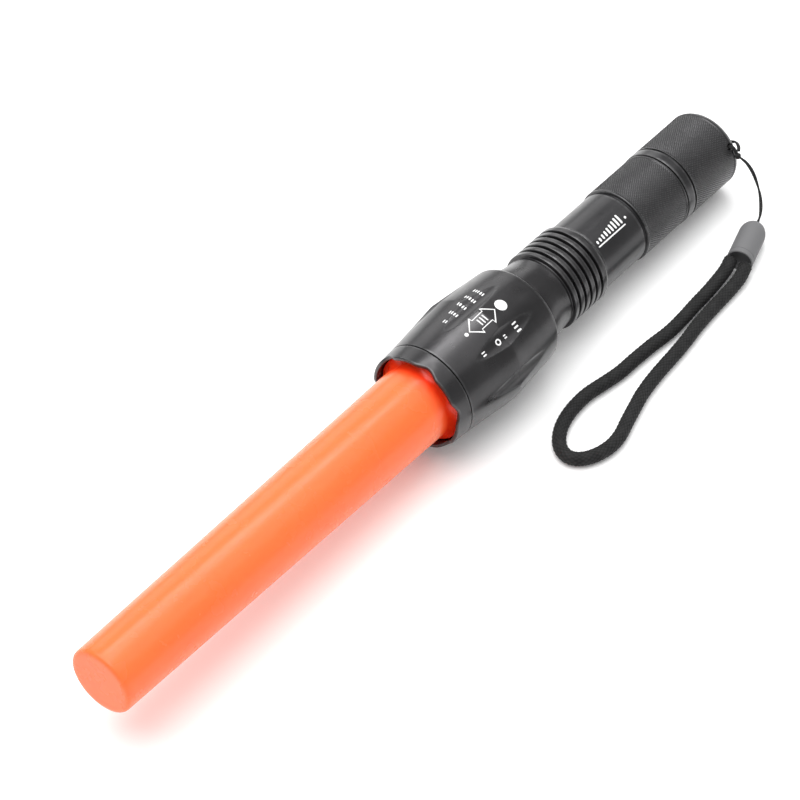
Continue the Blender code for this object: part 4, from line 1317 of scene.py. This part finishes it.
@dataclass
class Lanyard:
    """The string through the cap's rim, its knot, the ferrule and the braided wrist loop."""

    cap: TailCap
    string_radius: float = 0.55
    string_pitch: float = 24.0
    knot_radius: float = 1.3
    knot_place: tuple[float, float, float] = (3.0, 15.2, 66.0)
    ferrule_radius: float = 4.4
    ferrule_top: tuple[float, float, float] = (134.9, -29.2, 4.5)
    ferrule_mouth: tuple[float, float, float] = (118.2, -34.2, 4.5)
    cord_radius: float = 2.3
    cord_pairs: int = 12
    cord_pitch: float = 1.7
    lead: tuple[tuple[float, float, float], ...] = (
        (144.3, -15.0, 18.6), (145.5, -16.7, 16.4), (146.3, -18.7, 13.1), (146.0, -21.0, 9.6),
        (144.4, -23.6, 6.9), (141.8, -25.9, 5.3), (138.7, -27.8, 4.7), (135.4, -29.05, 4.5))
    loop: tuple[tuple[float, float, float], ...] = (
        (116.8, -31.7, 4.4), (112.6, -32.7, 3.9), (107.8, -33.0, 3.1), (102.0, -33.2, 2.5),
        (95.0, -33.4, 2.4), (88.0, -33.8, 2.4), (80.5, -33.8, 2.4), (72.5, -32.9, 2.4),
        (64.5, -32.3, 2.4), (57.0, -31.9, 2.4), (50.0, -30.7, 2.4), (43.5, -29.5, 2.4),
        (37.5, -29.4, 2.4), (32.0, -30.1, 2.4), (27.3, -31.5, 2.4), (23.2, -33.8, 2.4),
        (20.4, -36.7, 2.4), (19.4, -40.0, 2.4), (20.5, -43.0, 2.4), (23.3, -45.4, 2.4),
        (27.4, -47.1, 2.4), (32.0, -47.8, 2.4), (36.8, -47.3, 2.4), (42.0, -45.8, 2.4),
        (48.0, -44.2, 2.4), (54.0, -42.7, 2.4), (60.5, -41.7, 2.4), (67.5, -41.1, 2.4),
        (74.5, -40.7, 2.4), (81.0, -40.1, 2.4), (88.0, -39.2, 2.4), (95.0, -38.7, 2.4),
        (102.0, -38.4, 2.4), (108.5, -38.2, 2.6), (113.6, -37.8, 3.1), (118.1, -36.6, 3.6))

    def build(self, axis: Axis) -> None:
        """Args:
            axis: The light's axis.
        """
        string_line = smooth_route(self.string_route(axis), 0.12 * MM)
        string = settle(self.make_string(string_line), Body.TAIL, "string_black", "lanyard_turn",
                        "lanyard_string")
        knot = settle(self.make_knot(axis), Body.TAIL, "string_black", "lanyard_knot")
        ferrule = settle(self.make_ferrule(), Body.TAIL, "ferrule_grey", "lanyard_ferrule")
        cord_line = smooth_route(np.array(self.loop) * MM, 0.3 * MM)
        cord = settle(self.make_cord(cord_line), Body.TAIL, "cord_black", "wrist_cord")

    def string_route(self, axis: Axis) -> Array:
        """Return the string's route: from the knot over the rim, out by the hole, and on to the ferrule."""
        hole = self.cap.hole_angle
        out = self.cap.hole_station
        turn = [(1.5, 14.9, hole + 10), (0.1, 14.2, hole + 7), (-1.2, 12.5, hole + 3), (-1.2, 10.3, hole + 1),
                (-0.5, 8.8, hole), (0.9, 8.5, hole), (2.2, 8.6, hole), (out, 9.9, hole), (out, 11.6, hole),
                (out, 13.3, hole), (out, 14.5, hole + 2.5), (2.9, 15.0, hole + 6.8), self.knot_place]
        places = axis.place(*np.array(turn).T)
        return np.concatenate([places, np.array(self.lead) * MM])

    def make_string(self, line: Array) -> bpy.types.Object:
        """Make the string of two strands, each wound about its line as a helix."""
        across, other = carried_frames(line)
        travel = travelled(line) / MM
        strands = []
        for half_turn in (0, pi):
            angle = (2 * pi * travel / self.string_pitch + half_turn)[:, None]
            offset = (np.cos(angle) * across + np.sin(angle) * other) * self.string_radius * 0.45 * MM
            strands.append(rod(line + offset, self.string_radius * 0.62, 12))
        return Solid.joined(strands).make("lanyard_string_twist", THREAD_YARN)

    def make_knot(self, axis: Axis) -> bpy.types.Object:
        """Make the knot as a trefoil: sine of t plus twice sine of 2t, and so on, closed on itself."""
        t = np.linspace(0, 2 * pi, 120, endpoint=False)
        size = (self.knot_radius - self.string_radius * 0.9) / 3
        line = size * MM * np.stack([np.sin(t) + 2 * np.sin(2 * t), np.cos(t) - 2 * np.cos(2 * t),
                                     -1.6 * np.sin(3 * t)], -1)
        along = unit(np.roll(line, -1, 0) - np.roll(line, 1, 0))
        across = unit(np.cross(along, (0, 0, 1.0)))
        centre = axis.place(*(np.array(value) for value in self.knot_place))
        radius = np.full((len(line), 12), self.string_radius * 0.95 * MM)
        grid = centre + rings_round(line, across, np.cross(along, across), radius)
        return skin(grid, np.full(radius.shape, 0.6), True).make("string_knot", THREAD_YARN)

    def make_ferrule(self) -> bpy.types.Object:
        """Make the bullet-shaped ferrule: a quarter-ellipse nose, a plain body and a lipped mouth."""
        top, mouth = np.array(self.ferrule_top) * MM, np.array(self.ferrule_mouth) * MM
        length = float(np.linalg.norm(mouth - top)) / MM
        turn = np.radians(np.linspace(0, 90, 18))
        nose, radius, mouth_radius = 5.2, self.ferrule_radius, 3.7
        corners = [
            *curve(nose * (1 - np.cos(turn)), radius * np.sin(turn)), (length - 1.9, radius, 0.2),
            (length - 1.7, radius - 0.2, 0.1), (length - 1.5, radius, 0.2), (length, radius, 0.5, 0.3),
            (length, mouth_radius, 0.3), (length - 2.5, mouth_radius - 0.2, 0.3), (length - 2.5, 0)]
        ferrule = Turned(corners, 72, closed=False).solid(Axis.between(top, mouth))
        return ferrule.make("bullet_ferrule", FERRULE)

    def make_cord(self, line: Array) -> bpy.types.Object:
        """Make the braided cord: strands of two opposite helices that pass over and under each other.

        Turns round plus distance over pitch number one family of strands, and their difference the
        other. Where the two whole numbers add to an even number the first family is on top. A strand
        bulges as the sine across it, and rises and dips as the root of the sine along it.
        """
        travel = travelled(line)[:, None] / MM
        around = 72
        turn = np.arange(around)[None] / around * self.cord_pairs
        first, second = turn + travel / self.cord_pitch, turn - travel / self.cord_pitch
        even = (np.floor(first) + np.floor(second)) % 2 == 0
        across = np.where(even, first % 1, second % 1)
        along = np.where(even, second % 1, first % 1)
        height = np.sin(pi * across) ** 0.6 * np.sqrt(np.sin(pi * along))
        radius = (self.cord_radius - 0.32 * (1 - height)) * MM
        # the strands' height also becomes the crest, which paints a highlight on their tops and shade between
        # them
        return tube_round(line, radius, height).make("braided_wrist_cord", BRAID)


# ---- studio


@dataclass
class Studio:
    """The floor, the soft lights and the camera."""

    elevation: float = 48.81
    heading: float = 39.02
    lens: float = 152.79
    distance: float = 1.0296
    target: tuple[float, float, float] = (-0.00705, 0.00454, 0.020)
    floor_size: float = 12.0

    def build(self) -> None:
        """Make the camera, the floor and the lights."""
        self.make_camera()
        self.make_floor()
        self.make_lights()
        bpy.context.scene.view_settings.view_transform = "Standard"

    def make_camera(self) -> None:
        """Aim the camera at the target from its elevation and heading."""
        rise, turn = radians(self.elevation), radians(self.heading)
        look = Vector((cos(rise) * cos(turn), cos(rise) * sin(turn), -sin(rise)))
        data = bpy.data.cameras.new("camera")
        data.lens = self.lens
        data.sensor_width = 36
        data.clip_start, data.clip_end = 0.05, 30
        camera = add_object("camera", data)
        self.aim(camera, Vector(self.target) - look * self.distance, look)
        bpy.context.scene.camera = camera

    def aim(self, item: bpy.types.Object, place: Vector, look: Vector) -> None:
        """Move a camera or a light to a place and turn it to look in a direction."""
        item.location = place
        item.rotation_mode = "QUATERNION"
        item.rotation_quaternion = look.to_track_quat("-Z", "Y")

    def make_floor(self) -> None:
        """Make the pale floor, one square of translucent sheet that is faintly lit from beneath."""
        half = self.floor_size / 2
        mesh = bpy.data.meshes.new("floor")
        square = [(-half, -half, 0), (half, -half, 0), (half, half, 0), (-half, half, 0)]
        mesh.from_pydata(square, [], [(0, 1, 2, 3)])
        floor = add_object("floor", mesh)
        board = Board("white_sweep")
        board.set(Roughness=0.9, Specular_IOR_Level=0.1, Emission_Color=(1, 1, 1, 1), Emission_Strength=0.08)
        board.link(board.mix(board.noise(3, 2), (0.93, 0.93, 0.93), (0.95, 0.95, 0.95)), "Base Color")
        mesh.materials.append(board.material)

    def make_light(self, name: str, place: Sequence[float], size: tuple[float, float], power: float) -> None:
        """Make a rectangular soft light that faces the light's middle.

        Args:
            name: The light's name.
            place: Where it hangs, in metres.
            size: Its width and height, in metres.
            power: Its power in watts.
        """
        data = bpy.data.lights.new(name, "AREA")
        data.shape = "RECTANGLE"
        data.size, data.size_y = size
        data.energy = power
        self.aim(add_object(name, data), Vector(place), Vector(self.target) - Vector(place))

    def make_lights(self) -> None:
        """Make the broad key light, a strip over the head, two weaker panels, and the white room."""
        self.make_light("key_light", (-0.25, 0.4, 2.05), (2.2, 2.2), 50)
        self.make_light("strip_light", (0.56, 0.38, 1.08), (0.62, 0.2), 3.1)
        self.make_light("back_panel", (1.1, 1.3, 0.75), (1.3, 0.8), 5)
        self.make_light("front_panel", (0.5, -0.4, 1.15), (1.1, 0.8), 2.8)
        world = bpy.data.worlds.new("white_room")
        world.use_nodes = True
        sky = world.node_tree.nodes["Background"]
        sky.inputs["Color"].default_value = (1, 1, 1, 1)
        sky.inputs["Strength"].default_value = 0.53
        bpy.context.scene.world = world


# ---- whole


def dress(finishes: dict[str, Finish]) -> None:
    """Give frame nodes their finishes.

    Args:
        finishes: The finish of each node by name.
    """
    for name, finish in finishes.items():
        node = frame["nodes"][name]
        node.data.materials.clear()
        node.data.materials.append(finish.material())
        log.info("%s: %s", name, finish.name)


def main() -> None:
    """Build the studio and every sub-assembly in order, and report each."""
    logging.basicConfig(level=logging.INFO, format="%(name)s %(message)s")
    axis = Axis.of_light(frame["record"])
    Studio().build()
    cap, tube, head = TailCap(), BatteryTube(), Head()
    for assembly in (Lanyard(cap), cap, tube, Neck(), head, Bezel(), Wand(), Markings(head, tube)):
        log.info("building %s", type(assembly).__name__)
        assembly.build(axis)


if __name__ == "__main__":
    main()
